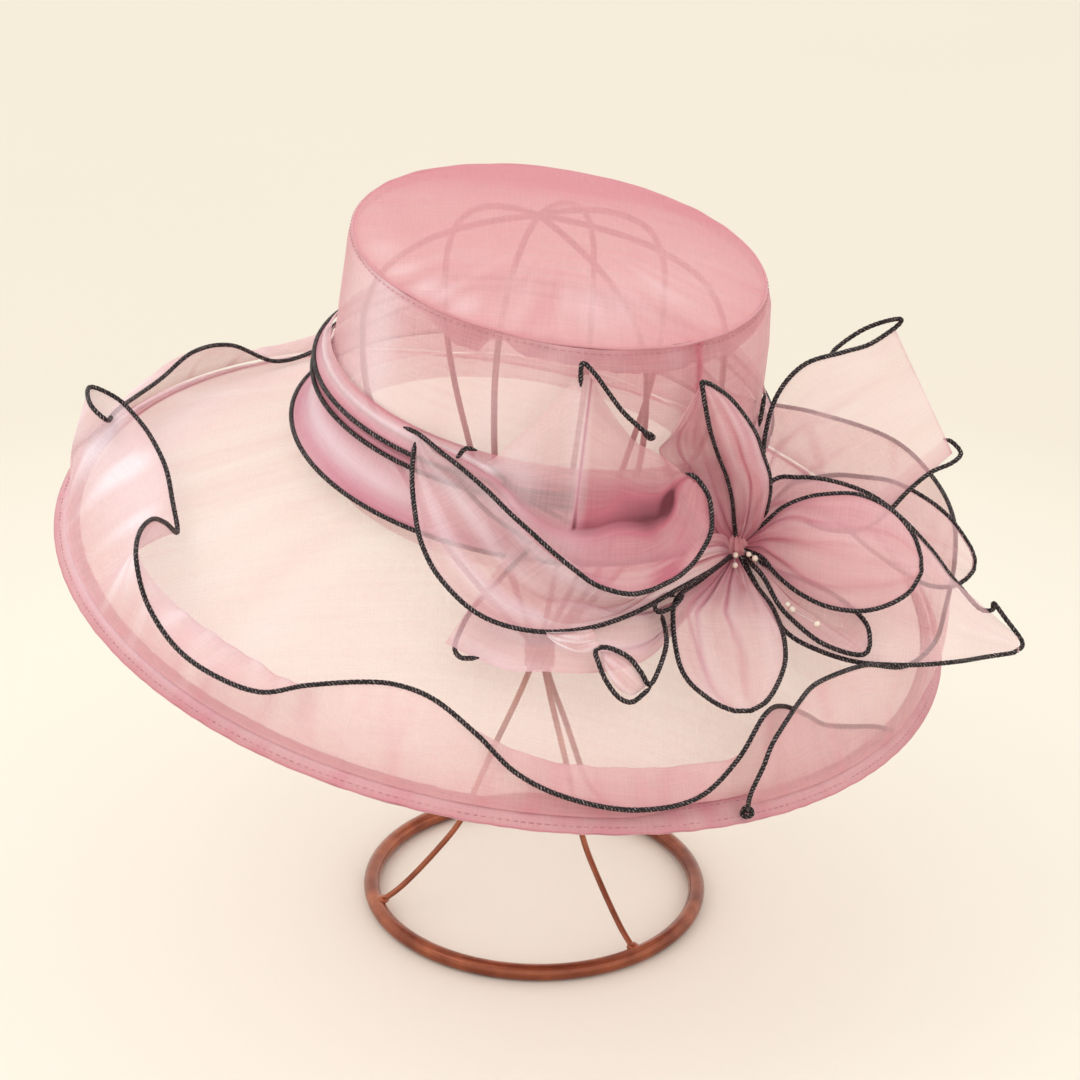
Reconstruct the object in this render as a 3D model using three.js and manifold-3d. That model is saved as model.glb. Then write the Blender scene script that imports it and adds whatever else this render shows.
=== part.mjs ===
// A sheer wide-brim sun hat with a big bow flower, hung on a wire hat stand.
// Millimetres, +Z up. The stand's ring lies on the ground plane; the hat leans on the wire balloon.
import * as THREE from 'three';
import { mergeVertices } from 'three/addons/utils/BufferGeometryUtils.js';
import Module from 'manifold-3d';

const wasm = await Module();
wasm.setup();

// Driving dimensions
const CLOTH = 1.2; // thickness of one layer of cloth with its stiffening
const GAP = 0.4; // clearance between touching pieces
const TIP_RADIUS = [94, 93.3]; // crown tip, across and front to back
const TIP_HEIGHT = 101.6; // seam of the crown tip above the crown's foot
const TIP_DOME = 11.4;
const BRIM_RADIUS = [211.7, 222.3]; // brim edge, across and front to back
const BRIM_DROP = 63.5; // brim edge below the crown's foot
const FOOT_RADIUS = 98; // head opening
const HEM_WIDTH = 11;
const HEM_THICK = 2.4;
const FRILL_SEAM = [5, 5.3]; // frill seam: inward from the brim edge, up from its plane
const FRILL_TUCK = [9, 7.6]; // the same where the frill's end is tucked under its start
const CORD_RADIUS = 1.3; // black whipped cord
const EDGE_ROOM = 1.75; // from the middle of an edge cord to the cloth beside it
const KNOT_PLACE = [96.5, -67.6, 2]; // middle of the flower
const KNOT_RADIUS = [8, 8, 9];
const RING_RADIUS = 81; // stand ring, to the middle of its tube
const RING_TUBE = 4;
const LEG_WIRE = 1.5;
const RIB_WIRE = 1.5;
const STAND_TOP = [-5, 358.3]; // the bead where the ribs meet: shift to the right, height of its middle
const COLLAR = { radius: 7.5, low: 126, high: 142 };

// How the hat sits on the stand, and how the brim sits on the crown
const HAT_PLACE = [-8.5, -11, 247];
const HAT_LEAN = { right: 7.75, forward: 3.4 };
const BRIM_LEAN = { right: 1.12, forward: -0.85 };

const COLOURS = {
  organza: { color: 0xe9b3bb, roughness: 0.5, metalness: 0 },
  rosePink: { color: 0xcf8a9b, roughness: 0.5, metalness: 0 },
  cord: { color: 0x2a2022, roughness: 0.6, metalness: 0 },
  bronze: { color: 0x6b3f2e, roughness: 0.35, metalness: 0.6 },
};

const radians = THREE.MathUtils.degToRad;
const vector = (p) => new THREE.Vector3(p[0], p[1], p[2]);

// Pieces go into two groups: the hat, which leans, and the stand, which does not
const hat = new THREE.Group();
hat.position.set(...HAT_PLACE);
hat.rotation.set(radians(HAT_LEAN.forward), radians(HAT_LEAN.right), 0, 'YXZ');
const stand = new THREE.Group();

function place(group, name, geometry, colour) {
  const mesh = new THREE.Mesh(geometry, new THREE.MeshStandardMaterial(COLOURS[colour]));
  mesh.name = name;
  group.add(mesh);
  return mesh;
}

// Keep only merged positions, and drop the faces that have shrunk to a line
function closed(geometry) {
  geometry.deleteAttribute('normal');
  geometry.deleteAttribute('uv');
  const merged = mergeVertices(geometry, 1e-3);
  const index = merged.index.array;
  const kept = [];
  for (let i = 0; i < index.length; i += 3) {
    const [a, b, c] = [index[i], index[i + 1], index[i + 2]];
    if (a !== b && b !== c && c !== a) kept.push(a, b, c);
  }
  merged.setIndex(kept);
  return merged;
}

// A smooth value between the rows of a table, at a share t from its first row to its last
function between(rows, t) {
  const span = t * (rows.length - 1);
  const i = Math.min(Math.floor(span), rows.length - 2);
  const [p0, p1, p2, p3] = [rows[Math.max(i - 1, 0)], rows[i], rows[i + 1], rows[Math.min(i + 2, rows.length - 1)]];
  const s = span - i;
  return p1.map((value, k) => {
    const rise = (p2[k] - p0[k]) / 2;
    const fall = (p3[k] - value) / 2;
    const d = value - p2[k];
    return value + s * (rise + s * (-3 * d - 2 * rise - fall + s * (2 * d + rise + fall)));
  });
}

// A straight value between rows whose first column is the key
function lookUp(rows, key) {
  let i = 0;
  while (i < rows.length - 2 && rows[i + 1][0] < key) i += 1;
  const s = (key - rows[i][0]) / (rows[i + 1][0] - rows[i][0]);
  const share = THREE.MathUtils.clamp(s, 0, 1);
  return rows[i].map((value, k) => value + share * (rows[i + 1][k] - value));
}

// Cloth with a thickness: surface(u, v) gives its middle, round says that u comes back to its start
function cloth(surface, across, down, round = false, thick = CLOTH) {
  const columns = round ? across : across + 1;
  const point = (i, j) => surface((i % (round ? across : across + 1)) / across, j / down);
  const grid = [];
  for (let j = 0; j <= down; j += 1) {
    for (let i = 0; i < columns; i += 1) grid.push(point(i, j));
  }
  const at = (i, j) => j * columns + (round ? (i + columns) % columns : i);
  const sides = [[], []];
  for (let j = 0; j <= down; j += 1) {
    for (let i = 0; i < columns; i += 1) {
      const west = grid[at(round ? i - 1 : Math.max(i - 1, 0), j)];
      const east = grid[at(round ? i + 1 : Math.min(i + 1, columns - 1), j)];
      const north = grid[at(i, Math.max(j - 1, 0))];
      const south = grid[at(i, Math.min(j + 1, down))];
      const normal = east.clone().sub(west).cross(south.clone().sub(north));
      if (normal.lengthSq() < 1e-12) normal.set(0, 0, 1);
      normal.setLength(thick / 2);
      sides[0].push(grid[at(i, j)].clone().add(normal));
      sides[1].push(grid[at(i, j)].clone().sub(normal));
    }
  }
  const points = [...sides[0], ...sides[1]];
  const back = sides[0].length;
  const faces = [];
  const quad = (a, b, c, d) => faces.push(a, b, c, a, c, d);
  const cells = round ? columns : columns - 1;
  for (let j = 0; j < down; j += 1) {
    for (let i = 0; i < cells; i += 1) {
      const [a, b, c, d] = [at(i, j), at(i + 1, j), at(i + 1, j + 1), at(i, j + 1)];
      quad(a, b, c, d);
      quad(back + a, back + d, back + c, back + b);
    }
  }
  for (let i = 0; i < cells; i += 1) {
    quad(back + at(i, 0), back + at(i + 1, 0), at(i + 1, 0), at(i, 0));
    quad(at(i, down), at(i + 1, down), back + at(i + 1, down), back + at(i, down));
  }
  if (!round) {
    for (let j = 0; j < down; j += 1) {
      quad(at(0, j), at(0, j + 1), back + at(0, j + 1), back + at(0, j));
      quad(back + at(columns - 1, j), back + at(columns - 1, j + 1), at(columns - 1, j + 1), at(columns - 1, j));
    }
  }
  const geometry = new THREE.BufferGeometry();
  geometry.setAttribute('position', new THREE.Float32BufferAttribute(points.flatMap((p) => [p.x, p.y, p.z]), 3));
  geometry.setIndex(faces);
  return closed(geometry);
}

// The share of the way from a corded edge to the far side that leaves room for the cord
function inset(edge, far, along, room) {
  const across = far.clone().sub(edge);
  const slant = across.clone().cross(along).length() / (across.lengthSq() * along.length());
  return Math.min(room / Math.max(slant * across.lengthSq(), 0.35 * across.length()), 0.42);
}

// A line through points, with a point at each step of the extrusion
class PointLine extends THREE.Curve {
  constructor(points) {
    super();
    this.points = points;
  }

  getPoint(t) {
    const span = t * (this.points.length - 1);
    const i = Math.min(Math.floor(span + 1e-9), this.points.length - 2);
    return this.points[i].clone().lerp(this.points[i + 1], Math.max(span - i, 0));
  }

  getPointAt(t) {
    return this.getPoint(t);
  }

  getTangentAt(t) {
    return this.getTangent(t);
  }

  getTangent(t) {
    const step = 0.5 / (this.points.length - 1);
    const ahead = this.getPoint(Math.min(t + step, 1));
    return ahead.sub(this.getPoint(Math.max(t - step, 0))).normalize();
  }
}

// A smooth run of points through a few places
const smooth = (places, steps) => Array.from({ length: steps + 1 }, (_, k) => vector(between(places, k / steps)));

// A cord or wire: a small polygon carried along the points
function cord(points, radius = CORD_RADIUS, sides = 4) {
  const section = new THREE.Shape();
  for (let k = 0; k < sides; k += 1) {
    const turn = ((k + 0.5) / sides) * 2 * Math.PI;
    const [x, y] = [radius * Math.cos(turn), radius * Math.sin(turn)];
    if (k === 0) section.moveTo(x, y);
    else section.lineTo(x, y);
  }
  const path = new PointLine(points);
  const steps = points.length - 1;
  return closed(new THREE.ExtrudeGeometry(section, { extrudePath: path, steps, bevelEnabled: false }));
}

// Cut one solid by others, and keep its biggest part
function solid(geometry) {
  const mesh = new wasm.Mesh({
    numProp: 3,
    vertProperties: new Float32Array(geometry.attributes.position.array),
    triVerts: new Uint32Array(geometry.index.array),
  });
  return new wasm.Manifold(mesh);
}
function cutBy(geometry, cutters) {
  let whole = solid(geometry);
  for (const cutter of cutters) whole = whole.subtract(solid(cutter));
  const parts = whole.decompose();
  parts.sort((a, b) => b.volume() - a.volume());
  const mesh = parts[0].getMesh();
  const cut = new THREE.BufferGeometry();
  cut.setAttribute('position', new THREE.Float32BufferAttribute(mesh.vertProperties, 3));
  cut.setIndex(Array.from(mesh.triVerts));
  return closed(cut);
}

// Crown: the upright wall bulges under the tip seam and sags a little to the right
// columns: height above the foot, radius, shift to the right
const WALL = [
  [0, 97.6, 0.5],
  [20, 98.6, 2],
  [48, 98.9, 3.5],
  [76, 98.4, 2.5],
  [94, 97.2, 1],
  [101.2, 94.4, 0],
];
const WALL_SEAM = { at: -49, width: 7, dent: 1.8, top: 101, low: 62 };

function wallPoint(angle, height, out) {
  const [, radius, shift] = lookUp(WALL, height);
  const turn = (THREE.MathUtils.radToDeg(angle) - WALL_SEAM.at + 540) % 360 - 180;
  const onSeam = Math.exp(-((turn / WALL_SEAM.width) ** 2));
  const drawn = height > WALL_SEAM.low && height < WALL_SEAM.top ? WALL_SEAM.dent * onSeam : 0;
  const r = radius + out - drawn;
  return new THREE.Vector3(shift + r * Math.cos(angle), r * Math.sin(angle), height);
}

const ROUND = 30; // steps round the crown
const angleOf = (u) => u * 2 * Math.PI;

function tipSurface(u, v) {
  const share = 1 - v;
  const angle = angleOf(u);
  const lift = TIP_DOME * (1 - share * share);
  return new THREE.Vector3(
    share * TIP_RADIUS[0] * Math.cos(angle),
    share * TIP_RADIUS[1] * Math.sin(angle),
    TIP_HEIGHT + CLOTH / 2 + GAP + lift,
  );
}
place(hat, 'crown_tip', cloth(tipSurface, ROUND, 3, true), 'rosePink');
const wallRows = WALL.length - 1;
place(hat, 'crown_wall', cloth((u, v) => {
  const [height] = WALL[Math.round(wallRows * (1 - v))];
  return wallPoint(angleOf(u), height, 0);
}, ROUND, wallRows, true), 'organza');

// The tip's seam allowance hangs inside the wall; columns: angle, depth
const ALLOWANCE = [[-180, 6], [-150, 5], [-115, 9], [-100, 8], [-85, 12], [-60, 13], [-40, 12], [-20, 8], [180, 6]];
function allowanceSurface(u, v) {
  const degrees = 360 * u - 180;
  const [, depth] = lookUp(ALLOWANCE, degrees);
  return wallPoint(radians(degrees), 100.6 - depth * v, -CLOTH - GAP);
}
place(hat, 'tip_seam_allowance', cloth(allowanceSurface, ROUND, 1, true, 1), 'rosePink');

// Hatband: three gathered ribbons, each tucked under the one above; the lowest flares on to the brim
// columns: height, distance out from the wall
const SASH_UPPER = [[46.5, 1.9], [41.5, 3.6], [36.6, 5.8]];
const SASH_MIDDLE = [[42, 1.6], [35.5, 3.2], [30.4, 5.6]];
const SASH_LOWER = [[34, 1.5], [23, 5.4], [10, 6.6], [4.8, 11.3]];

// columns: height, distance out from the wall, and where each cord ends beside the flower
const SASH_CORDS = [[36, 7.8, 306], [29.8, 7.6, 306], [4.5, 13.4, 312]];
const SASH_CORD_START = -12;

function sash(name, rows) {
  const surface = (u, v) => {
    const [height, out] = between(rows, v);
    return wallPoint(angleOf(u), height, out);
  };
  place(hat, name, cloth(surface, ROUND, rows.length - 1, true, 1), 'organza');
}
sash('sash_upper', SASH_UPPER);
sash('sash_middle', SASH_MIDDLE);
sash('sash_lower', SASH_LOWER);

// Each sash cord runs round the crown from one side of the flower's knot to the other
SASH_CORDS.forEach(([height, out, end], i) => {
  const points = [];
  for (let turn = SASH_CORD_START; turn < end; turn += 360 / ROUND) points.push(turn);
  points.push(end);
  place(hat, `sash_cord_${i + 1}`, cord(points.map((turn) => wallPoint(radians(turn), height, out))), 'cord');
});

// Brim: a straight sheet from the crown's foot to an oval edge that leans a little on its own
const brimTurn = new THREE.Matrix4().makeRotationFromEuler(
  new THREE.Euler(radians(BRIM_LEAN.forward), radians(BRIM_LEAN.right), 0, 'YXZ'),
);
function edgeRadius(angle) {
  const [a, b] = BRIM_RADIUS;
  return (a * b) / Math.hypot(b * Math.cos(angle), a * Math.sin(angle));
}
// A place near the brim's edge: angle, inward from the edge, up from the plane of the edge
function edgePoint(angle, inward, up) {
  const r = edgeRadius(angle) - inward;
  return new THREE.Vector3(r * Math.cos(angle), r * Math.sin(angle), up - BRIM_DROP).applyMatrix4(brimTurn);
}
const BRIM_SLOPE = BRIM_DROP / (217 - FOOT_RADIUS);
const BRIM_WAVES = [{ at: 160, width: 30, count: 7, height: 2.2 }];

function brimSurface(u, v) {
  const angle = angleOf(u);
  const inner = new THREE.Vector3(
    (FOOT_RADIUS - 1) * Math.cos(angle), (FOOT_RADIUS - 1) * Math.sin(angle), -CLOTH - 0.1,
  );
  const inward = HEM_WIDTH + GAP;
  const outer = edgePoint(angle, inward, inward * BRIM_SLOPE);
  const point = inner.lerp(outer, v);
  for (const wave of BRIM_WAVES) {
    const off = ((360 * u - wave.at + 540) % 360) - 180;
    const near = Math.exp(-((off / wave.width) ** 2)) * Math.sin(Math.PI * v);
    point.z += wave.height * near * Math.sin(radians(off * wave.count));
  }
  return point;
}
const BRIM_ROUND = 48;
place(hat, 'brim', cloth(brimSurface, BRIM_ROUND, 2, true), 'organza');
place(hat, 'brim_hem', cloth((u, v) => {
  const inward = HEM_WIDTH * (1 - v);
  return edgePoint(angleOf(u), inward, inward * BRIM_SLOPE);
}, BRIM_ROUND, 1, true, HEM_THICK), 'rosePink');

// Frill: sewn to the hem, its corded free edge stands in waves over the brim
// columns: angle of the seam, angle of the free edge, then inward and up of the free edge,
// and inward and up of the crest of the fold between them
const FRILL = [
  [-60, -60, 0, 8, 3, 6],
  [-57, -61, -4, 24, 4, 13],
  [-52, -58, 3, 40, 8, 24],
  [-47, -50, 18, 46, 13, 27],
  [-40, -40, 22, 46, 14, 27],
  [-31, -30, 9, 35.5, 8, 21],
  [-21, -20, 5, 38, 4, 20],
  [-9, -9, 5, 46, 4, 24],
  [4, 4, 4, 56, 6, 30],
  [17, 18, 6, 59, 4, 30],
  [31, 33, 18, 52, 8, 28],
  [50, 52, 34, 38, 18, 26],
  [68, 68, 22, 47, 14, 28],
  [86, 86, 10, 52, 6, 28],
  [106, 106, 28, 42, 14, 26],
  [122, 122, 40, 29, 22, 24],
  [136, 136, 38, 28, 18, 24],
  [147, 147, 27, 38, 12, 26],
  [157, 158, 25, 36, 12, 24],
  [166, 170, 22, 38, 10, 24],
  [174, 183, 20, 50, 9, 28],
  [179, 187, 13, 59, 5, 34],
  [183, 182, 8, 60, 6, 36],
  [187, 181, 19, 58, 12, 34],
  [191, 185, 35, 51, 22, 32],
  [196, 194, 45, 46, 30, 32],
  [201, 203, 46, 37, 30, 28],
  [205, 208, 42, 34, 26, 26],
  [209, 213, 24, 53, 16, 31],
  [214, 218, 6, 58, 8, 34],
  [221, 223, -5, 51, 10, 35],
  [228, 228, -5, 35, 15, 32],
  [236, 236, -6, 30, 16, 31],
  [243, 243, 1, 31, 14, 31],
  [248, 248, 9, 39, 10, 30],
  [253, 253, 18, 42, 10, 26],
  [259, 259, 20, 43, 12, 26],
  [264, 264, 17, 37, 13, 30],
  [269, 269, 11, 28, 15, 29],
  [275, 275, 5, 18, 16, 25],
  [283, 283, 3, 11, 16, 23],
  [291, 291, 4, 12.5, 16, 23],
  [297, 297, 7, 24, 13, 24],
  [301, 302, 15, 43, 11, 24],
  [306, 309, 26, 39, 15, 20],
  [312, 316, 25, 25, 17, 15],
  [319, 322, 17, 17, 13, 11],
  [326, 327, 10, 10, 10, 9],
];
const FRILL_TUCKED_FROM = 290;

function frillPoint(row, v) {
  const [seam, free, inward, up, crestIn, crestUp] = row;
  const [seamIn, seamUp] = seam > FRILL_TUCKED_FROM ? FRILL_TUCK : FRILL_SEAM;
  const angle = seam + (free - seam) * v;
  // a parabola from the seam through the crest to the free edge
  const [s0, s1, s2] = [(1 - v) * (1 - 2 * v), 4 * v * (1 - v), v * (2 * v - 1)];
  return edgePoint(
    radians(angle),
    s0 * seamIn + s1 * crestIn + s2 * inward,
    s0 * seamUp + s1 * crestUp + s2 * up,
  );
}
const FRILL_STEPS = 2 * (FRILL.length - 1);
const frillEdge = [];
for (let k = 0; k <= FRILL_STEPS; k += 1) frillEdge.push(frillPoint(between(FRILL, k / FRILL_STEPS), 1));
place(hat, 'frill_cord', cord(frillEdge), 'cord');
const frill = cloth((u, v) => {
  const row = between(FRILL, u);
  const edge = frillPoint(row, 1);
  const along = frillPoint(between(FRILL, Math.min(u + 0.004, 1)), 1);
  along.sub(frillPoint(between(FRILL, Math.max(u - 0.004, 0)), 1));
  return frillPoint(row, v * (1 - inset(edge, frillPoint(row, 0.4), along, EDGE_ROOM)));
}, FRILL_STEPS, 2);
place(hat, 'brim_frill', cutBy(frill, [cord(frillEdge, CORD_RADIUS + 0.3)]), 'organza');

// Flower: a knot at the hatband, from which corded leaves and loops fan out
const knot = new THREE.SphereGeometry(1, 10, 7);
knot.scale(...KNOT_RADIUS);
knot.translate(...KNOT_PLACE);
const knotRoom = new THREE.SphereGeometry(1, 14, 9);
knotRoom.scale(...KNOT_RADIUS.map((r) => r + 2 * GAP));
knotRoom.translate(...KNOT_PLACE);
const knotClear = closed(knotRoom);
place(hat, 'flower_knot', closed(knot), 'rosePink');

// Each petal is a sheet through a few sections, in the crown's frame: right, back, up
// columns: one edge x y z, the other edge x y z, belly of the middle
const PETALS = {
  petal_1: [
    [-53.5, -91, 43, -51, -89, 45, 0],
    [-53, -104, 35, -45, -96, 41, 2],
    [-50, -116, 25, -30, -105, 38, 5],
    [-45, -132, 17, -13, -116, 32, 7],
    [-35, -148, 10, 3, -128, 25, 8],
    [-17, -161, 3, 18, -136, 18, 8],
    [5, -165, 1, 33, -139, 12, 7],
    [28, -159, 2, 47, -137, 9, 5],
    [49, -145, 5, 59, -128, 10, 4],
    [69, -120, 6, 75, -106, 13, 3],
    [85, -95, 4, 87, -86, 10, 2],
    [95, -72, 0, 94, -70, 1, 0],
  ],
  petal_3: [
    [64, -92, 93, 67, -92, 93, 0],
    [67, -93, 84, 79, -87, 84, -2],
    [72, -90, 70, 92, -81, 68, -5],
    [78, -84, 56, 99, -77, 54, -6],
    [85, -79, 42, 104, -75, 43, -6],
    [90, -75, 29, 106, -73, 30, -5],
    [93, -71, 18, 105, -70, 15, -3],
    [96, -69, 6, 99, -69, 4, 0],
  ],
  petal_3_wing: [
    [64, -87, 87, 65, -88, 91, 0],
    [60, -89, 77, 68, -90, 83, 1],
    [55, -93, 65, 73, -87, 69, 3],
    [52, -91, 56, 79, -81, 55, 4],
    [61, -88.5, 44, 86, -76, 41, 4],
    [71, -86, 28, 91, -72, 28, 3],
    [84, -81, 10, 94, -68, 15, 1],
    [96, -69, 4, 97, -67, 5, 0],
  ],
  petal_4: [
    [98, -65, 5, 99, -67, 3, 0],
    [105, -45, 23, 111, -49, 15, 0],
    [104, -32, 40, 127, -46, 12, 1],
    [107, -21, 57, 146, -45, 10, 2],
    [118, -8, 68, 163, -41, 15.5, 3],
    [136, 1, 73, 174, -33.5, 25.5, 3],
    [148, 9, 75, 183, -27.5, 33.5, 2],
    [157, 12, 79, 192, -19, 40, 0],
  ],
  petal_5: [
    [98, -68, 4, 98, -69, 2, 0],
    [107, -68, 16, 107, -79, 5, 1],
    [114, -67, 25, 114, -87, 2, 3],
    [123, -68, 32, 123, -96, 0, 6],
    [132, -71, 37, 134, -103, -1, 8],
    [143, -73, 40, 144, -107, 0, 8],
    [153, -77, 40, 154, -108, 2, 7],
    [163, -80, 36, 164, -106, 6, 4],
    [171, -86, 30, 172, -101, 11, 2],
    [175, -91, 23, 176, -95, 18, 0],
  ],
  petal_6: [
    [98, -66, 3, 98, -68, 1, 0],
    [109, -43, 23, 113, -90, -13, 1],
    [122, -42, 28, 123, -104, -18, 3],
    [138, -43, 29, 138, -108, -22, 5],
    [155, -45, 26, 154, -111, -23, 6],
    [170, -49, 19, 171, -109, -23, 6],
    [186, -55, 8, 186, -103, -24, 5],
    [199, -61, -3, 202, -96, -24, 3],
    [214, -66, -14, 217, -83, -27, 1],
    [231, -71, -21, 232, -78, -24, 0],
  ],
  petal_7: [
    [99, -63, 1, 99, -65, -1, 0],
    [118, -31, 15, 122, -36, 9, 0],
    [128, -26, 19, 138, -35, 8, 2],
    [141, -21, 21, 148, -36, 3, 3],
    [154, -17, 20, 161, -38, -5, 4],
    [168, -15, 19, 178, -41, -13, 4],
    [183, -15, 14, 191, -41, -18, 4],
    [197, -18, 7, 202, -38, -19, 3],
    [209, -22, -4, 209, -33, -17, 2],
    [213, -25, -10, 213, -28, -14, 0],
  ],
  petal_8: [
    [96, -70, -1, 98, -70, 0, 0],
    [81, -95, -3, 106, -86, -6, 2],
    [69, -120, 0, 112, -102, -8, 5],
    [68, -138, -2, 116, -119, -11, 7],
    [72, -152, -7, 119, -132, -16, 7],
    [79, -163, -11, 118, -143, -19, 6],
    [88, -170, -16, 115, -153, -20, 3],
    [98, -171, -20, 110, -162, -24, 0],
  ],
  petal_9: [
    [98, -69, 0, 99, -68, 1, 0],
    [108, -86, 0, 113, -82, 1, 0],
    [116, -99, -4, 126, -87, 1, 1],
    [124, -106, -9, 136, -91, 1, 3],
    [133, -110, -14, 145, -95, -2, 3],
    [143, -113, -16, 152, -101, -7, 2],
    [152, -115, -17, 156, -109, -11, 0],
  ],
  petal_10: [
    [-5, -119, 16, -29, -158, -15, 0],
    [8, -124, 11, -13, -168, -15.5, 2],
    [17, -128, 9, 0, -173, -15, 4],
    [27, -129, 8, 15, -173, -13, 5],
    [38, -130, 5, 33, -171, -12, 5],
    [48, -126, 1, 49, -163, -11, 3],
    [60, -115, -3, 60, -152, -10, 1],
    [77, -97, -5, 75, -120, -8, 0],
    [91, -78, -6, 90, -84, -7, 0],
  ],
  petal_10_curl: [
    [36, -167, -3, 37, -168, -4, 0],
    [42, -168, -2, 39, -173, -7, 1],
    [49, -169, -4, 44, -178, -12, 2],
    [55, -171, -9, 51, -179, -15, 1],
    [59, -171, -12, 57, -173, -14, 0],
  ],
};

// Petal 2 is folded: its near edge comes forward, its valley lies back and its far edge stands up
// columns: near edge x y z, valley x y z, upper edge x y z
const PETAL_2 = [
  [-49, -93, 45.5, -44, -94, 44.5, -41, -96, 46.5],
  [-37, -107, 45, -31, -105, 45, -28, -106, 48],
  [-22, -120, 41, -20, -112, 43, -21, -111, 50],
  [-12, -130, 38, -12, -115, 39, -14, -112, 60],
  [0, -140, 34, -1, -119, 31.5, -2, -110, 75.5],
  [14, -146, 27, 14, -121, 27, 12.5, -106, 95],
  [27.5, -150, 20.5, 27.5, -120, 28.5, 21.5, -104, 85],
  [41, -151, 17.5, 38, -117, 32, 30.5, -101, 73.5],
  [53.5, -145, 17, 50, -111, 31, 40, -98, 63],
  [67, -130, 18, 57.5, -103, 30.5, 49, -95, 58],
  [76.5, -114, 22.5, 61, -99, 35.5, 55, -96, 55.5],
  [79, -102, 32, 62, -96, 43, 59, -95, 52.5],
  [74, -96, 44, 66, -94, 47, 60.5, -94, 51.5],
];
// The cord of its near edge goes on past the sheet at both ends
const CORD_2 = [
  [-59.5, -88, 48], [-52.5, -89.5, 46.5], [-42, -101, 45.5], [-31, -112, 44], [-20, -122, 41], [-9, -133, 37.5],
  [0.5, -140, 34], [10.5, -145, 29], [21, -149, 24], [31, -151, 19.5], [44, -151, 17.5], [53.5, -145, 17],
  [60.5, -138, 17.5], [67, -130, 18], [72.5, -121, 19.5], [76, -114, 22], [79, -108, 27], [79.5, -103, 31.5],
  [76.5, -98, 41], [70, -94.5, 47.5], [65, -93, 48.5],
];

// The middle of a petal bellies out along the normal of its section
const PETAL_STEPS = 10;
const PETAL_MARGIN = 0.05;
const alongPetal = (u) => PETAL_MARGIN + (1 - 2 * PETAL_MARGIN) * u;
function petalSurface(rows, u, v, room) {
  const t = alongPetal(u);
  const row = between(rows, t);
  const [one, other] = [vector(row), vector(row.slice(3, 6))];
  const ahead = between(rows, t + 0.02);
  const behind = between(rows, t - 0.02);
  const along = vector(ahead).sub(vector(behind));
  const first = inset(one, other, along, room);
  const last = inset(other, one, vector(ahead.slice(3, 6)).sub(vector(behind.slice(3, 6))), room);
  const belly = other.clone().sub(one).cross(along).setLength(4 * v * (1 - v) * row[6] + 1e-6);
  return one.lerp(other, first + v * (1 - first - last)).add(belly);
}
function foldedSurface(rows, u, v, room) {
  const row = between(rows, alongPetal(u));
  const points = [row.slice(0, 3), row.slice(3, 6), row.slice(6, 9)].map(vector);
  const along = vector(between(rows, alongPetal(u) + 0.02)).sub(vector(between(rows, alongPetal(u) - 0.02)));
  const first = inset(points[0], points[1], along, room);
  if (v > 0.5) return points[1].lerp(points[2], 1.9 * (v - 0.5));
  return points[0].lerp(points[1], first + 2 * v * (1 - first));
}
const petalShapes = {};
for (const [name, rows] of Object.entries(PETALS)) {
  petalShapes[name] = (thick, room = EDGE_ROOM) => cloth(
    (u, v) => petalSurface(rows, u, v, room), PETAL_STEPS, 2, false, thick,
  );
}
petalShapes.petal_2 = (thick, room = EDGE_ROOM) => cloth(
  (u, v) => foldedSurface(PETAL_2, u, v, room), PETAL_STEPS, 4, false, thick,
);

// Edge cords of the petals: along the rows' own edges, or through a few places
const edgeSteps = [0, ...Array.from({ length: PETAL_STEPS + 1 }, (_, k) => alongPetal(k / PETAL_STEPS)), 1];
function edgeOf(rows, first, from = 0, to = 1) {
  const steps = edgeSteps.filter((t) => t >= from && t <= to);
  return steps.map((t) => vector(between(rows, t).slice(first)));
}
const round = (rows, from = 0) => [...edgeOf(rows, 0, from), ...edgeOf(rows, 3, from).reverse()];
const EDGE_CORDS = {
  cord_1: edgeOf(PETALS.petal_1, 0),
  cord_2: smooth(CORD_2, 24),
  cord_2_tip: smooth([
    [12, -109, 90.5], [11, -108, 101], [17, -108, 97], [24, -107, 89],
    [31, -106, 81], [38, -104, 74.5], [43.5, -102, 70], [48, -100, 68.5],
  ], 12),
  cord_3: [...edgeOf(PETALS.petal_3, 0).reverse(), ...edgeOf(PETALS.petal_3, 3, 0.02, 0.8)],
  cord_4: [
    ...edgeOf(PETALS.petal_4, 0, 0.22),
    ...smooth([[160, 11, 84], [159.5, 10, 89.5], [154, 15, 85], [146, 17, 79], [138.5, 15, 73], [131, 9, 67.5]], 10),
  ],
  cord_4_side: smooth([
    [187.5, -13, 43.5], [191.5, -15, 43.5], [196, -18, 40], [192, -23, 37], [182.5, -28, 33], [173.5, -34, 25.5],
    [165.5, -41, 17], [157, -46, 10], [148, -49, 8], [137, -50, 8], [127, -49, 10],
  ], 20),
  cord_5: round(PETALS.petal_5),
  cord_6: round(PETALS.petal_6),
  cord_7: round(PETALS.petal_7),
  cord_8: round(PETALS.petal_8),
  cord_9: round(PETALS.petal_9),
  cord_10: smooth([
    [2, -122, 17], [-2.5, -126, 12], [-11, -134, 3], [-19.5, -142, -7], [-24, -153, -14.5],
    [-24.5, -160, -16.5], [-22.5, -166, -16], [-20, -170, -14], [-14.5, -173, -11],
  ], 16),
  cord_10_curl: smooth([
    [63, -129, -3], [65, -148, -4], [63, -162, -8], [59, -173, -12], [54, -172, -7], [48, -170, -2],
    [39, -168, 0], [34, -168, -2], [36, -172, -6], [40, -177, -11], [46, -182, -15], [52, -181, -17], [57, -177, -14],
  ], 24),
};
const cutters = [knotClear];
for (const [name, points] of Object.entries(EDGE_CORDS)) {
  place(hat, name, cutBy(cord(points), cutters), 'cord');
  cutters.push(cord(points, CORD_RADIUS + 0.3));
}

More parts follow.
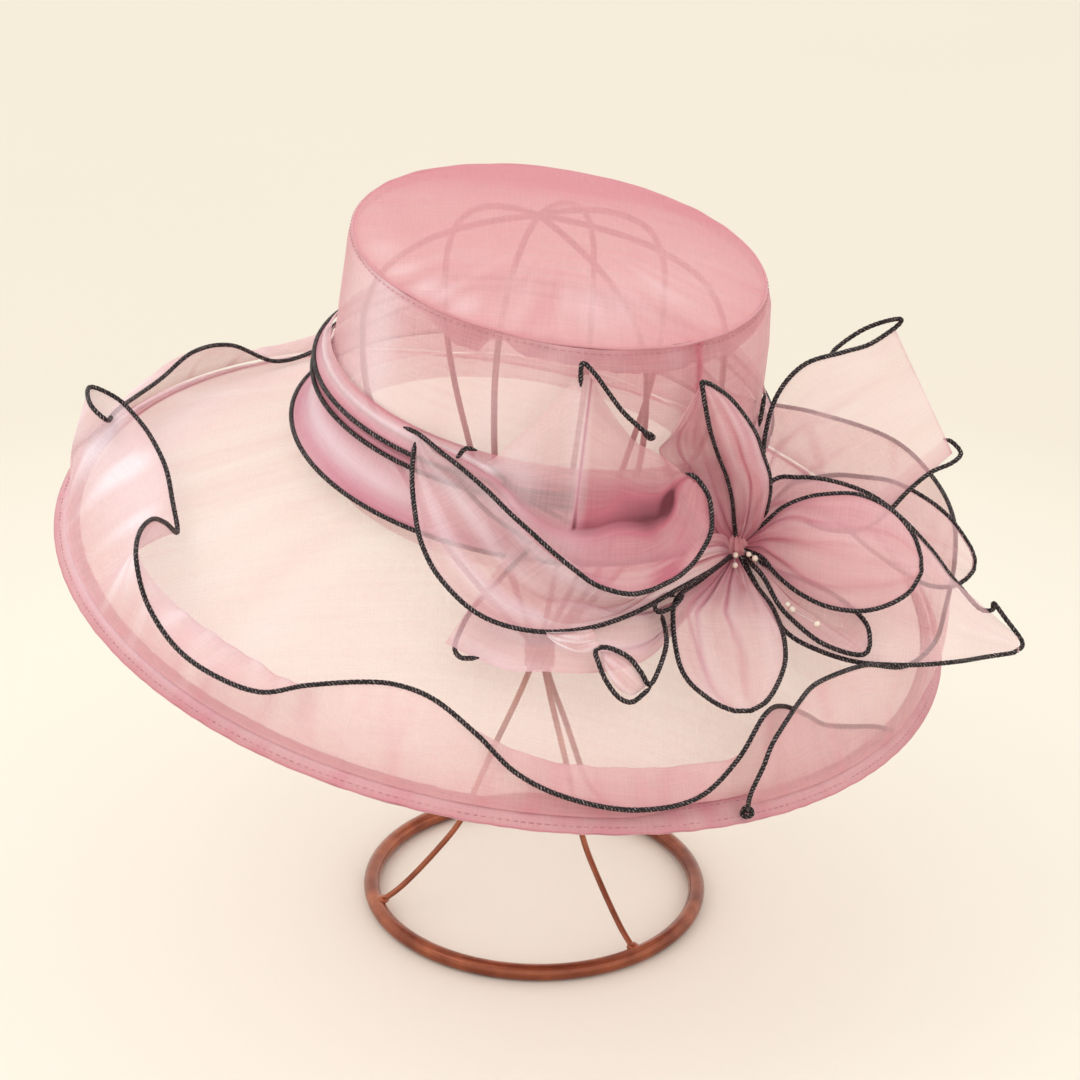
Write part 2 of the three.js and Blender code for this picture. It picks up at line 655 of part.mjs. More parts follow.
// Petals are trimmed where they would run into the knot, a cord or a petal named before them
const ORDER = [
  'petal_1', 'petal_2', 'petal_3', 'petal_3_wing', 'petal_5', 'petal_6',
  'petal_4', 'petal_7', 'petal_8', 'petal_9', 'petal_10', 'petal_10_curl',
];
const FAT = CLOTH + 2 * GAP;
for (const name of ORDER) {
  place(hat, name, cutBy(petalShapes[name](CLOTH), cutters), 'organza');
  cutters.push(petalShapes[name](FAT, EDGE_ROOM - GAP));
}

// Stand: a round ring on the table; its section has flat facets below and above
const ringSection = Array.from({ length: 9 }, (_, k) => {
  const turn = ((k + 0.5) / 8) * 2 * Math.PI;
  const r = RING_TUBE / Math.cos(Math.PI / 8);
  return new THREE.Vector2(RING_RADIUS + r * Math.cos(turn), RING_TUBE + r * Math.sin(turn));
});
const ring = new THREE.LatheGeometry(ringSection, 28);
ring.rotateX(Math.PI / 2);
place(stand, 'stand_ring', closed(ring), 'bronze');

// Legs: three wires from the ring's top, inward and up to the collar; columns: distance out, height
const LEG_PATH = [[77.9, 8.1], [68, 14], [52, 30], [39, 46], [31, 64], [21, 88], [11, 110], [4.6, 125.3]];
const LEG_ANGLES = [198, 308, 50];
function wireAt(angle, path, steps) {
  const [c, s] = [Math.cos(radians(angle)), Math.sin(radians(angle))];
  return smooth(path.map(([r, z, shift = 0]) => [r * c + shift, r * s, z]), steps);
}
LEG_ANGLES.forEach((angle, i) => {
  place(stand, `stand_leg_${i + 1}`, cord(wireAt(angle, LEG_PATH, 10), LEG_WIRE, 5), 'bronze');
});
const collar = new THREE.CylinderGeometry(COLLAR.radius, COLLAR.radius, COLLAR.high - COLLAR.low, 12);
collar.rotateX(Math.PI / 2);
collar.translate(0, 0, (COLLAR.high + COLLAR.low) / 2);
place(stand, 'stand_collar', closed(collar), 'bronze');

// Balloon: ribs from the collar, out inside the crown, and in to a welded bead at the top
// columns: distance out as a share of the rib's reach, height, share of the bead's shift
const RIB_PATH = [
  [0.08, 143.4, 0], [0.28, 163, 0], [0.52, 190, 0], [0.73, 222, 0], [0.89, 250, 0], [0.98, 275, 0], [1, 300, 0],
  [0.98, 316, 0], [0.89, 331, 0.1], [0.75, 341, 0.3], [0.54, 349.6, 0.6], [0.27, 355.6, 0.9], [0.085, 358, 1],
];
const RIBS = [[-9, 82.5], [-58, 84], [-106, 82], [-176, 85], [128, 80], [74, 79], [46, 80]];
RIBS.forEach(([angle, reach], i) => {
  const path = RIB_PATH.map(([share, z, shift]) => [share * reach, z, shift * STAND_TOP[0]]);
  place(stand, `stand_rib_${i + 1}`, cord(wireAt(angle, path, 13), RIB_WIRE, 4), 'bronze');
});
const bead = new THREE.CylinderGeometry(6.2, 6.2, 2.6, 12);
bead.rotateX(Math.PI / 2);
bead.translate(STAND_TOP[0], 0, STAND_TOP[1]);
place(stand, 'stand_top', closed(bead), 'bronze');

// The origin is the middle of the whole part's box, on the ground
const whole = new THREE.Group();
whole.add(stand, hat);
whole.updateMatrixWorld(true);
const box = new THREE.Box3().setFromObject(whole, true);
whole.position.set(-(box.min.x + box.max.x) / 2, -(box.min.y + box.max.y) / 2, -box.min.z);

export default whole;
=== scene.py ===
# A lady's sheer wide-brim sun hat with a big corded bow flower, hung on a bronze-painted wire hat stand.
# Metres, +Z up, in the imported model's own frame. The hat's tables are in millimetres in the hat's own frame:
# right, back and up from the middle of the crown's foot.
import math
import bmesh
import bpy
from mathutils import Matrix, Vector, noise


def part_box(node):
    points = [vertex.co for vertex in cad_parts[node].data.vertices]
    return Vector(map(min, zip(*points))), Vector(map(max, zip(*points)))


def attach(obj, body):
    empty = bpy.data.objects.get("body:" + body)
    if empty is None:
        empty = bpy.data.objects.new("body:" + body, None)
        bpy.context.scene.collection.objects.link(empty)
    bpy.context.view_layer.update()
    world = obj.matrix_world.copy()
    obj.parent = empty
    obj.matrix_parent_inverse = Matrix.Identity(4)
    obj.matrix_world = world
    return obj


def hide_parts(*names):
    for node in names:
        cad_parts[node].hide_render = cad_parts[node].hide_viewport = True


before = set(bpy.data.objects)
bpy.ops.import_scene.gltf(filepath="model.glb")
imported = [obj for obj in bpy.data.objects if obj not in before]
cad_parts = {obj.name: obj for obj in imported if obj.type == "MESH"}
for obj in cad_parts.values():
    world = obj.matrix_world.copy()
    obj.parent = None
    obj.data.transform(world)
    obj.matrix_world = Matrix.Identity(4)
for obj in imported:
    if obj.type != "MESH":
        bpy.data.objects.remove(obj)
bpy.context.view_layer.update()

MM = 0.001

# Camera: it looks down on the hat from 0.9 m above the floor and 1.4 m in front of the stand, with the long
# lens of the photograph. The stand's ring on the floor gives the place that it is measured from.
ring_low, ring_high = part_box("stand_ring")
RING = Vector(((ring_low[0] + ring_high[0]) / 2, (ring_low[1] + ring_high[1]) / 2, 0))
CAMERA_PLACE = Vector((-1.08, -1438.1, 895.9))
CAMERA_TILT = math.radians(25.995)
CAMERA_ROLL = math.radians(1.322)
CAMERA_LENS = 112.2

across_view = Vector((1, 0, 0))
up_view = Vector((0, math.sin(CAMERA_TILT), math.cos(CAMERA_TILT)))
into_view = Vector((0, math.cos(CAMERA_TILT), -math.sin(CAMERA_TILT)))
rolled_x = across_view * math.cos(CAMERA_ROLL) + up_view * math.sin(CAMERA_ROLL)
rolled_y = up_view * math.cos(CAMERA_ROLL) - across_view * math.sin(CAMERA_ROLL)
camera_data = bpy.data.cameras.new("camera")
camera_data.lens = CAMERA_LENS
camera_data.sensor_width = 36
camera_data.clip_end = 50
camera = bpy.data.objects.new("camera", camera_data)
camera.matrix_world = Matrix.Translation(RING + CAMERA_PLACE * MM) @ Matrix(
    (rolled_x, rolled_y, -into_view)
).transposed().to_4x4()
bpy.context.scene.collection.objects.link(camera)
bpy.context.scene.camera = camera


# Floor and light: a plain floor of matt cream paper with a painted pool of light in its middle, soft studio
# light from all round and a large lamp over the left shoulder that gives the cloth part of its shine; the
# rest of the cloth's shine is painted highlight.
LAMP_PLACE = (-1.2, -0.7, 1.9)
LAMP_AIM = (0, 0, 0.2)
LAMP_WIDTH = 1.3
LAMP_POWER = 5.5
SKY_STRENGTH = 1.2


def linear(code):
    """The linear colour of an sRGB hex value."""
    parts = [int(code[i : i + 2], 16) / 255 for i in (1, 3, 5)]
    return (*[c / 12.92 if c <= 0.04045 else ((c + 0.055) / 1.055) ** 2.4 for c in parts], 1)


def add_node(tree, kind, inputs=None, **settings):
    """Adds a shader node with its settings; an input is a value, or another node's output to link."""
    node = tree.nodes.new("ShaderNode" + kind)
    for key, value in settings.items():
        setattr(node, key, value)
    for key, value in (inputs or {}).items():
        if isinstance(value, bpy.types.NodeSocket):
            tree.links.new(value, node.inputs[key])
        else:
            node.inputs[key].default_value = value
    return node


def new_material(name, settings):
    """A material with one Principled shader, and the constants that are set on it."""
    material = bpy.data.materials.new(name)
    material.use_nodes = True
    tree = material.node_tree
    shader = tree.nodes["Principled BSDF"]
    for key, value in settings.items():
        shader.inputs[key].default_value = value
    return material, tree, shader


def tinted(name, scale, detail, one, other, settings):
    """A material whose colour wanders between two, in clouds of this scale."""
    material, tree, shader = new_material(name, settings)
    place = add_node(tree, "TexCoord")
    noise_inputs = {"Vector": place.outputs["Object"], "Scale": scale, "Detail": detail}
    cloud = add_node(tree, "TexNoise", noise_inputs)
    tint = add_node(tree, "MixRGB", {0: cloud.outputs["Fac"], 1: linear(one), 2: linear(other)})
    tree.links.new(tint.outputs[0], shader.inputs["Base Color"])
    return material


def smooth(shape):
    """Smooth shading for the faces made so far."""
    for face in shape.faces:
        face.smooth = True


def add_object(name, shape, material):
    """Turns a finished bmesh into an object at the origin."""
    mesh = bpy.data.meshes.new(name)
    shape.to_mesh(mesh)
    shape.free()
    piece = bpy.data.objects.new(name, mesh)
    bpy.context.scene.collection.objects.link(piece)
    mesh.materials.append(material)
    return piece


def fit(piece, slot, *nodes):
    """Puts a piece on the one body and hides the solids that it stands for; its slot is not used."""
    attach(piece, "root")
    if nodes:
        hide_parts(*nodes)
    return piece


# Matt uncoated paper: no gloss, a little warmer and paler where the object stands, as a painted pool of light
paper, tree, shader = new_material("matt_paper", {"Roughness": 0.9, "Specular IOR Level": 0.1})
place = add_node(tree, "TexCoord")
spread = add_node(tree, "Mapping", {"Vector": place.outputs["Object"], "Scale": (1.5, 1.5, 1.5)})
middle = add_node(tree, "TexGradient", {"Vector": spread.outputs["Vector"]}, gradient_type="SPHERICAL")
cloud = add_node(tree, "TexNoise", {"Vector": place.outputs["Object"], "Scale": 1.7, "Detail": 2})
tint = add_node(tree, "MixRGB", {0: cloud.outputs["Fac"], 1: linear("#DDDBCC"), 2: linear("#E3DBCD")})
# painted pool of light: towards the middle the paper's colour turns paler and warmer
light_pool = add_node(tree, "MixRGB", {0: middle.outputs["Fac"], 1: tint.outputs[0], 2: linear("#FAF8EE")})
tree.links.new(light_pool.outputs[0], shader.inputs["Base Color"])

shape = bmesh.new()
bmesh.ops.create_grid(shape, x_segments=1, y_segments=1, size=5)
floor = add_object("floor", shape, paper)

world = bpy.data.worlds.new("studio")
world.use_nodes = True
world.node_tree.nodes["Background"].inputs["Color"].default_value = linear("#FFFBF7")
world.node_tree.nodes["Background"].inputs["Strength"].default_value = SKY_STRENGTH
bpy.context.scene.world = world

lamp_data = bpy.data.lights.new("key_lamp", "AREA")
lamp_data.shape = "DISK"
lamp_data.size = LAMP_WIDTH
lamp_data.energy = LAMP_POWER
lamp_data.color = linear("#FFFDFB")[:3]
lamp = bpy.data.objects.new("key_lamp", lamp_data)
lamp.location = LAMP_PLACE
lamp.rotation_euler = (Vector(LAMP_AIM) - lamp.location).to_track_quat("-Z", "Y").to_euler()
bpy.context.scene.collection.objects.link(lamp)

bpy.context.scene.view_settings.view_transform = "Standard"
bpy.context.scene.cycles.transparent_max_bounces = 40
bpy.context.scene.cycles.max_bounces = 10


# Stand: a ring of round steel bar on the floor, three legs of thin wire welded to it, a short collar, and a
# balloon of seven wires that fills the crown. All of it has a coat of glossy bronze-brown paint.
def between(rows, t):
    """A smooth value between the rows of a table, at a share t from its first row to its last."""
    span = t * (len(rows) - 1)
    i = max(min(int(math.floor(span)), len(rows) - 2), 0)
    p0, p1, p2, p3 = rows[max(i - 1, 0)], rows[i], rows[i + 1], rows[min(i + 2, len(rows) - 1)]
    s = span - i
    result = []
    for a, b, c, d in zip(p0, p1, p2, p3):
        rise = (c - a) / 2
        fall = (d - b) / 2
        result.append(b + s * (rise + s * (-3 * (b - c) - 2 * rise - fall + s * (2 * (b - c) + rise + fall))))
    return result


def evenly(points, step):
    """The same line with its points an even step apart."""
    along = [0.0]
    for one, other in zip(points, points[1:]):
        along.append(along[-1] + (other - one).length)
    count = max(round(along[-1] / step), 2)
    result = []
    k = 0
    for n in range(count + 1):
        goal = along[-1] * n / count
        while k < len(points) - 2 and along[k + 1] < goal:
            k += 1
        share = (goal - along[k]) / max(along[k + 1] - along[k], 1e-12)
        result.append(points[k].lerp(points[k + 1], min(share, 1)))
    return result


def smooth_line(places, count=160):
    """A smooth run of points through a few places."""
    return [Vector(between(places, k / count)) for k in range(count + 1)]


def wire(name, points, radius, material, step=0.001, sides=10, relief=None, taper=0):
    """A round wire or cord along points in metres, with ends that may taper. Its map holds metres along and
    round it."""
    points = evenly(points, step)
    count = len(points) - 1
    ahead = [(points[min(k + 1, count)] - points[max(k - 1, 0)]).normalized() for k in range(count + 1)]
    side = ahead[0].orthogonal().normalized()
    sides_of = []
    for direction in ahead:
        side = (side - direction * side.dot(direction)).normalized()
        sides_of.append(side.copy())
    shape = bmesh.new()
    map_layer = shape.loops.layers.uv.new("UVMap")
    bmesh.ops.create_grid(shape, x_segments=count, y_segments=sides, size=0.5, calc_uvs=True)
    smooth(shape)
    for face in shape.faces:
        for loop in face.loops:
            loop[map_layer].uv.x *= count * step
            loop[map_layer].uv.y *= 2 * math.pi * radius
    for vert in shape.verts:
        k = round((vert.co.x + 0.5) * count)
        turn = (vert.co.y + 0.5) * 2 * math.pi
        out = sides_of[k] * math.cos(turn) + ahead[k].cross(sides_of[k]) * math.sin(turn)
        reach = radius * (1 + relief(k * step, turn) if relief else 1)
        if taper:
            reach *= min(0.35 + 0.65 * min(k, count - k) * step / taper, 1)
        vert.co = points[k] + out * reach
    bmesh.ops.remove_doubles(shape, verts=shape.verts, dist=1e-7)
    bmesh.ops.holes_fill(shape, edges=shape.edges)
    bmesh.ops.recalc_face_normals(shape, faces=shape.faces)
    return add_object(name, shape, material)


# Bronze-brown enamel on steel wire: a smooth glossy coat, a little thin and bright where it has been rubbed
enamel, tree, shader = new_material(
    "bronze_enamel", {"Metallic": 0.75, "Roughness": 0.2, "Coat Weight": 0.3, "Coat Roughness": 0.08})
place = add_node(tree, "TexCoord")
cloud = add_node(tree, "TexNoise", {"Vector": place.outputs["Object"], "Scale": 60, "Detail": 4})
shade = add_node(tree, "ValToRGB", {"Fac": cloud.outputs["Fac"]})
shade.color_ramp.elements[0].position = 0.32
shade.color_ramp.elements[0].color = linear("#713420")
shade.color_ramp.elements[1].position = 0.75
shade.color_ramp.elements[1].color = linear("#AA6040")
tree.links.new(shade.outputs["Color"], shader.inputs["Base Color"])
fleck = add_node(tree, "TexNoise", {"Vector": place.outputs["Object"], "Scale": 500, "Detail": 2})
ripple = add_node(tree, "Bump", {"Height": fleck.outputs["Fac"], "Strength": 0.06, "Distance": 0.0004})
tree.links.new(ripple.outputs["Normal"], shader.inputs["Normal"])

RING_RADIUS = 81
RING_TUBE = 4.1
RING_HEIGHT = 4
shape = bmesh.new()
bmesh.ops.create_circle(shape, segments=24, radius=RING_TUBE * MM)
bmesh.ops.rotate(shape, verts=shape.verts, cent=(0, 0, 0), matrix=Matrix.Rotation(math.pi / 2, 3, "X"))
bmesh.ops.translate(shape, verts=shape.verts, vec=RING + Vector((RING_RADIUS, 0, RING_HEIGHT)) * MM)
bmesh.ops.spin(
    shape, geom=shape.verts[:] + shape.edges[:], cent=RING, axis=(0, 0, 1),
    angle=2 * math.pi, steps=160, use_merge=True,
)
bmesh.ops.remove_doubles(shape, verts=shape.verts, dist=1e-7)
bmesh.ops.recalc_face_normals(shape, faces=shape.faces)
smooth(shape)
ring = add_object("base_ring", shape, enamel)
fit(ring, "bronze_wire", "stand_ring")


def stand_wire(name, node, angle, path, radius):
    """A wire of the stand in the plane at this angle, through rows of distance out, height and shift."""
    turn = Vector((math.cos(math.radians(angle)), math.sin(math.radians(angle)), 0))
    rows = (between(path, k / 80) for k in range(81))
    points = [RING + (turn * out + Vector((shift, 0, z))) * MM for out, z, shift in rows]
    fit(wire(name, points, radius * MM, enamel, step=0.002), "bronze_wire", node)


def weld(name, centre, size):
    """A small bead of weld metal under the paint."""
    shape = bmesh.new()
    bmesh.ops.create_icosphere(shape, subdivisions=3, radius=1)
    for vert in shape.verts:
        lump = 1 + 0.12 * noise.noise(vert.co * 1.7 + Vector(centre) * 40)
        grown = Vector((vert.co.x * size[0], vert.co.y * size[1], vert.co.z * size[2]))
        vert.co = Vector(centre) + grown * lump
    smooth(shape)
    return fit(add_object(name, shape, enamel), "bronze_wire")


# columns: distance out from the stand's middle, height, shift to the right
LEG_PATH = [
    [78.6, 6.9, 0], [68, 14, 0], [52, 30, 0], [39, 46, 0], [31, 64, 0], [21, 88, 0], [11, 110, 0],
    [4.6, 126, 0],
]
LEG_WIRE = 1.5
LEG_ANGLES = (198, 308, 50)
# The bead of weld at each foot: distance out and height in millimetres, size in metres
FOOT_WELD = (78.4, 7.4)
FOOT_WELD_SIZE = (0.0031, 0.0031, 0.002)
for i, angle in enumerate(LEG_ANGLES):
    stand_wire(f"base_leg_{i + 1}", f"stand_leg_{i + 1}", angle, LEG_PATH, LEG_WIRE)
    turn = math.radians(angle)
    foot = RING + Vector((FOOT_WELD[0] * math.cos(turn), FOOT_WELD[0] * math.sin(turn), FOOT_WELD[1])) * MM
    weld(f"foot_weld_{i + 1}", foot, FOOT_WELD_SIZE)

# The ribs meet a little to the left of the middle: shift to the right and height of their bead
STAND_TOP = (-5, 358.3)
# columns: distance out as a share of the wire's reach, height, share of the bead's shift
RIB_PATH = [
    [0.06, 141, 0], [0.28, 163, 0], [0.52, 190, 0], [0.73, 222, 0], [0.89, 250, 0], [0.98, 275, 0],
    [1, 300, 0], [0.98, 316, 0], [0.89, 331, 0.1], [0.75, 341, 0.3], [0.54, 349.6, 0.6], [0.27, 355.6, 0.9],
    [0.04, 358.3, 1],
]
RIB_WIRE = 1.5
# Each rib's angle, and how far out it reaches
RIBS = ((-9, 82.5), (-58, 84), (-106, 82), (-176, 85), (128, 80), (74, 79), (46, 80))
for i, (angle, reach) in enumerate(RIBS):
    path = [[share * reach, z, shift * STAND_TOP[0]] for share, z, shift in RIB_PATH]
    stand_wire(f"balloon_rib_{i + 1}", f"stand_rib_{i + 1}", angle, path, RIB_WIRE)

# The collar is a wound coil of the same wire round the gathered ends
COLLAR_TURNS = 5
COLLAR_RADIUS = 6
COLLAR_LOW = 127.4
COLLAR_RISE = 13
coil = []
for k in range(161):
    turn = 2 * math.pi * COLLAR_TURNS * k / 160
    right, back = COLLAR_RADIUS * math.cos(turn), COLLAR_RADIUS * math.sin(turn)
    coil.append(RING + Vector((right, back, COLLAR_LOW + COLLAR_RISE * k / 160)) * MM)
collar = wire("wound_collar", coil, RIB_WIRE * MM, enamel, step=0.001)
weld("collar_core", RING + Vector((0, 0, 134)) * MM, (0.0058, 0.0058, 0.0078))
fit(collar, "bronze_wire", "stand_collar")
top = weld("top_weld", RING + Vector((STAND_TOP[0], 0, STAND_TOP[1])) * MM, (0.005, 0.005, 0.0016))
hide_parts("stand_top")


# Crown wall: one layer of pink organza, cut as a long strip and joined by an upright seam at the right
# front. It is sewn to the crown tip above and to the head opening of the brim below, and it bulges a little.
# The hat's own frame stands here over the ring, in millimetres, and leans by these degrees
HAT_PLACE = (-8.5, -11, 247)
HAT_LEAN = {"right": 7.75, "forward": 3.4}
HAT = (
    Matrix.Translation(RING + Vector(HAT_PLACE) * MM)
    @ Matrix.Rotation(math.radians(HAT_LEAN["right"]), 4, "Y")
    @ Matrix.Rotation(math.radians(HAT_LEAN["forward"]), 4, "X")
    @ Matrix.Scale(MM, 4)
)


def cloth(name, surface, across, down, size, material, paint=None, join=False):
    """A sheet of cloth: a grid laid on surface(u, v), in the hat's millimetres. Its map holds metres. Two
    painted values go with it: the density, where it is gathered or doubled, which past 1 is painted shade;
    and a painted white highlight, where it shines."""
    shape = bmesh.new()
    map_layer = shape.loops.layers.uv.new("UVMap")
    density_and_shade_layer = shape.verts.layers.float.new("density_and_shade")
    painted_sheen_layer = shape.verts.layers.float.new("painted_sheen")
    bmesh.ops.create_grid(shape, x_segments=across, y_segments=down, size=0.5, calc_uvs=True)
    smooth(shape)
    for face in shape.faces:
        for loop in face.loops:
            loop[map_layer].uv.x *= size[0]
            loop[map_layer].uv.y *= size[1]
    for vert in shape.verts:
        u = clamp(vert.co.x + 0.5)
        v = clamp(vert.co.y + 0.5)
        density_and_shade, painted_sheen = paint(u, v) if paint else (0, 0)
        vert[density_and_shade_layer] = min(max(density_and_shade, 0), 2)
        vert[painted_sheen_layer] = clamp(painted_sheen)
        vert.co = HAT @ surface(u, v)
    if join:
        bmesh.ops.remove_doubles(shape, verts=shape.verts, dist=2e-6)
        bmesh.ops.recalc_face_normals(shape, faces=shape.faces)
    return add_object(name, shape, material)


def look_up(rows, key):
    """Straight values between rows whose first column is the key."""
    i = 0
    while i < len(rows) - 2 and rows[i + 1][0] < key:
        i += 1
    share = clamp((key - rows[i][0]) / (rows[i + 1][0] - rows[i][0]))
    return [a + share * (b - a) for a, b in zip(rows[i], rows[i + 1])]


def clamp(value):
    return min(max(value, 0), 1)


def edges_out(v, width):
    """1 in the middle of a strip, and falling straight to 0 at both its edges."""
    return min(v / width, 1) * min((1 - v) / width, 1)


def near(value, middle, width):
    """A soft hump: 1 at the middle, falling to nothing a few widths away."""
    return math.exp(-(((value - middle) / width) ** 2))


def turn_from(degrees, at):
    """The signed angle from at to degrees."""
    return (degrees - at + 540) % 360 - 180


def facing(degrees, at, width):
    """A soft hump round the hat: 1 at one angle, falling to nothing a few widths away."""
    return near(turn_from(degrees, at), 0, width)


def around(degrees, count, height=0.0):
    """Soft noise that closes on itself round the hat, with about this many waves."""
    turn = math.radians(degrees)
    reach = count / 6
    return noise.noise(Vector((math.cos(turn) * reach, math.sin(turn) * reach, height)))


# How fine the noise is that draws the weave, in waves to the metre: across a thread, along it, and for the
# thick places. Then what the threads and the soft clouds add to the cover, and three tints that all share:
# the white of the painted highlights, the tint of the shader's own sheen, and the dark of the painted shade
# in deep recesses.
THREADS = 1150
THREAD_LENGTH = 50
SLUBS = (22, 330)
WEAVE_SHARE = 0.2
CLOUD_SHARE = 0.16
SHINE_WHITE = linear("#F4EAF1")
SHEEN_TINT = linear("#F6ECF4")
INNER_SHADE = linear("#6B2C38")


def organza(name, thread, deep, cover, most, sheen=0.3, rough=0.45, slubs=0.12, flat_cut=False):
    """Silk organza: a crisp, sheer plain weave of twisted threads with thick and thin places. One layer
    hides only part of what is behind it, and it grows denser and deeper in colour where it is gathered,
    doubled or seen at a slant. The real threads are 0.3 mm apart; finer than 1 mm they wouldn't show here."""
    material, tree, shader = new_material(name, {
        "Roughness": rough, "Specular IOR Level": 0.25, "Sheen Weight": sheen, "Sheen Roughness": 0.4,
        "Sheen Tint": SHEEN_TINT,
    })
    place = add_node(tree, "TexCoord").outputs["Object"]
    laid = place if flat_cut else add_node(tree, "UVMap").outputs["UV"]

    def cloudy(vector, scale, detail):
        return add_node(tree, "TexNoise", {"Vector": vector, "Scale": scale, "Detail": detail}).outputs["Fac"]

    def drawn_out(along, across, detail):
        """Noise that is fine one way of the cloth and long the other."""
        spread = add_node(tree, "Mapping", {"Vector": laid, "Scale": (along, across, min(along, across))})
        return cloudy(spread.outputs["Vector"], 1, detail)

    def maths(operation, *values, use_clamp=False):
        inputs = dict(enumerate(values))
        return add_node(tree, "Math", inputs, operation=operation, use_clamp=use_clamp).outputs[0]

    def mixed(share, one, other):
        return add_node(tree, "MixRGB", {0: share, 1: one, 2: other}).outputs[0]

    warp = drawn_out(THREADS, THREAD_LENGTH, 2)
    weft = drawn_out(THREAD_LENGTH, THREADS, 2)
    slub = drawn_out(*SLUBS, 3)
    cloud = cloudy(place, 16, 3)
    density_and_shade = add_node(tree, "Attribute", attribute_name="density_and_shade").outputs["Fac"]
    # the painted highlight: it turns the colour towards white and makes the cloth hide more
    painted_sheen = add_node(tree, "Attribute", attribute_name="painted_sheen").outputs["Fac"]
    slant = add_node(tree, "LayerWeight", {"Blend": 0.5}).outputs["Facing"]
    full = maths("MULTIPLY_ADD", maths("POWER", slant, 2.4), 0.55, density_and_shade, use_clamp=True)
    # how much the cloth hides, from its one-layer cover to the most; the offset is the mean of what is added
    offset = WEAVE_SHARE + CLOUD_SHARE / 2 + slubs / 2
    span = {"Value": full, "To Min": cover - offset, "To Max": most - offset}
    total = add_node(tree, "MapRange", span).outputs[0]
    shares = ((warp, WEAVE_SHARE), (weft, WEAVE_SHARE), (cloud, CLOUD_SHARE), (slub, slubs), (painted_sheen, 0.35))
    for source, share in shares:
        total = maths("MULTIPLY_ADD", source, share, total)
    tree.links.new(maths("MAXIMUM", total, 0.03, use_clamp=True), shader.inputs["Alpha"])
    # the colour deepens with the cover, and along the thick threads
    patchy = maths("MULTIPLY_ADD", cloud, 0.45, maths("MULTIPLY_ADD", slub, 0.55, full))
    depth = maths("SUBTRACT", patchy, 0.48, use_clamp=True)
    shone = mixed(painted_sheen, mixed(depth, linear(thread), linear(deep)), SHINE_WHITE)
    # painted shade: past 1 the density turns the colour towards a dark shade, as in a deep recess
    inside = maths("SUBTRACT", density_and_shade, 1.0, use_clamp=True)
    tree.links.new(mixed(inside, shone, INNER_SHADE), shader.inputs["Base Color"])
    raised = maths("ADD", warp, weft)
    bump = add_node(tree, "Bump", {"Height": raised, "Strength": 0.12, "Distance": 0.0003})
    tree.links.new(bump.outputs["Normal"], shader.inputs["Normal"])
    return material


# columns: height above the foot, radius, shift to the right
WALL = [[0, 97.6, 0.5], [20, 98.6, 2], [48, 98.9, 3.5], [76, 98.4, 2.5], [94, 97.2, 1], [101.2, 94.4, 0]]
WALL_HEIGHT = 101.2
WALL_SEAM = {"at": -49, "width": 7, "dent": 1.8, "top": 101, "low": 62}


def wall_point(degrees, height, out):
    """A place on the crown's wall, at an angle and a height, this far out from the middle of its cloth."""
    _, radius, shift = look_up(WALL, height)
    on_seam = facing(degrees, WALL_SEAM["at"], WALL_SEAM["width"])
    top = clamp((height - WALL_SEAM["low"]) / 12) * clamp((WALL_SEAM["top"] - height) / 4)
    r = radius + out - WALL_SEAM["dent"] * on_seam * top
    turn = math.radians(degrees)
    return Vector((shift + r * math.cos(turn), r * math.sin(turn), height))


def wall_surface(u, v):
    degrees = 360 * u
    height = WALL_HEIGHT * (1 - v)
    puckers = 0.8 * math.exp(-v / 0.12) * around(degrees, 60) * min(v / 0.03, 1)
    sway = 0.9 * around(degrees, 12, height / 60)
    return wall_point(degrees, height, puckers + sway)


def shine(rows, degrees, v):
    """How white the cloth's painted highlight is at a place, from its painted spots of light: a table with the
    columns angle, width, share of the way down, depth and strength."""
    return sum(strength * facing(degrees, at, width) * near(v, down, depth)
               for at, width, down, depth, strength in rows)


# painted highlights on the wall: a wide spot at the left front and a narrow one further round to the front
WALL_SHINE = [[214, 20, 0.3, 0.5, 0.5], [254, 4, 0.4, 0.3, 0.35]]


def wall_paint(u, v):
    degrees = 360 * u
    low = clamp((0.75 - v) / 0.4)
    seam = facing(degrees, WALL_SEAM["at"], 1.1) + 0.2 * facing(degrees, -53, 3)
    right = 0.12 * facing(degrees, -22, 42) * low
    gathers = 0.25 * max(around(degrees, 60), 0) * math.exp(-v / 0.1)
    # painted highlight: soft white bands of sheen round the wall
    sheen_streak = 0.3 * max(around(degrees, 26, v * 0.7), 0)
    folds = 0.2 * max(around(degrees, 34, 3 + v), 0) + 0.08 * near(v, 0.12, 0.2)
    density_and_shade = 0.3 * math.exp(-v / 0.03) + 0.9 * seam * low + right + gathers + folds
    return density_and_shade, shine(WALL_SHINE, degrees, v) + sheen_streak


crown_cloth = organza("crown_organza", "#E9B3B8", "#C8707F", 0.45, 0.95)
wall = cloth("crown_wall_cloth", wall_surface, 300, 60, (0.615, 0.101), crown_cloth, wall_paint, join=True)
fit(wall, "organza", "crown_wall")

# Foot seam allowance: the raw edges of the wall and the brim, left 12 mm deep, hang down inside the seam
# that joins them and make a pale veil at the far side of the head opening
FOOT_ALLOWANCE = 12


def foot_surface(u, v):
    return wall_point(360 * u, -FOOT_ALLOWANCE * v, -1.8 - 1.5 * v + 0.8 * around(360 * u, 40, v) * v)


def foot_paint(u, v):
    return 0.1 + 0.3 * max(around(360 * u, 50, v), 0) - 0.3 * v, 0.0


foot = cloth("foot_allowance_cloth", foot_surface, 240, 5, (0.6, 0.012), crown_cloth, foot_paint, join=True)
fit(foot, "organza")

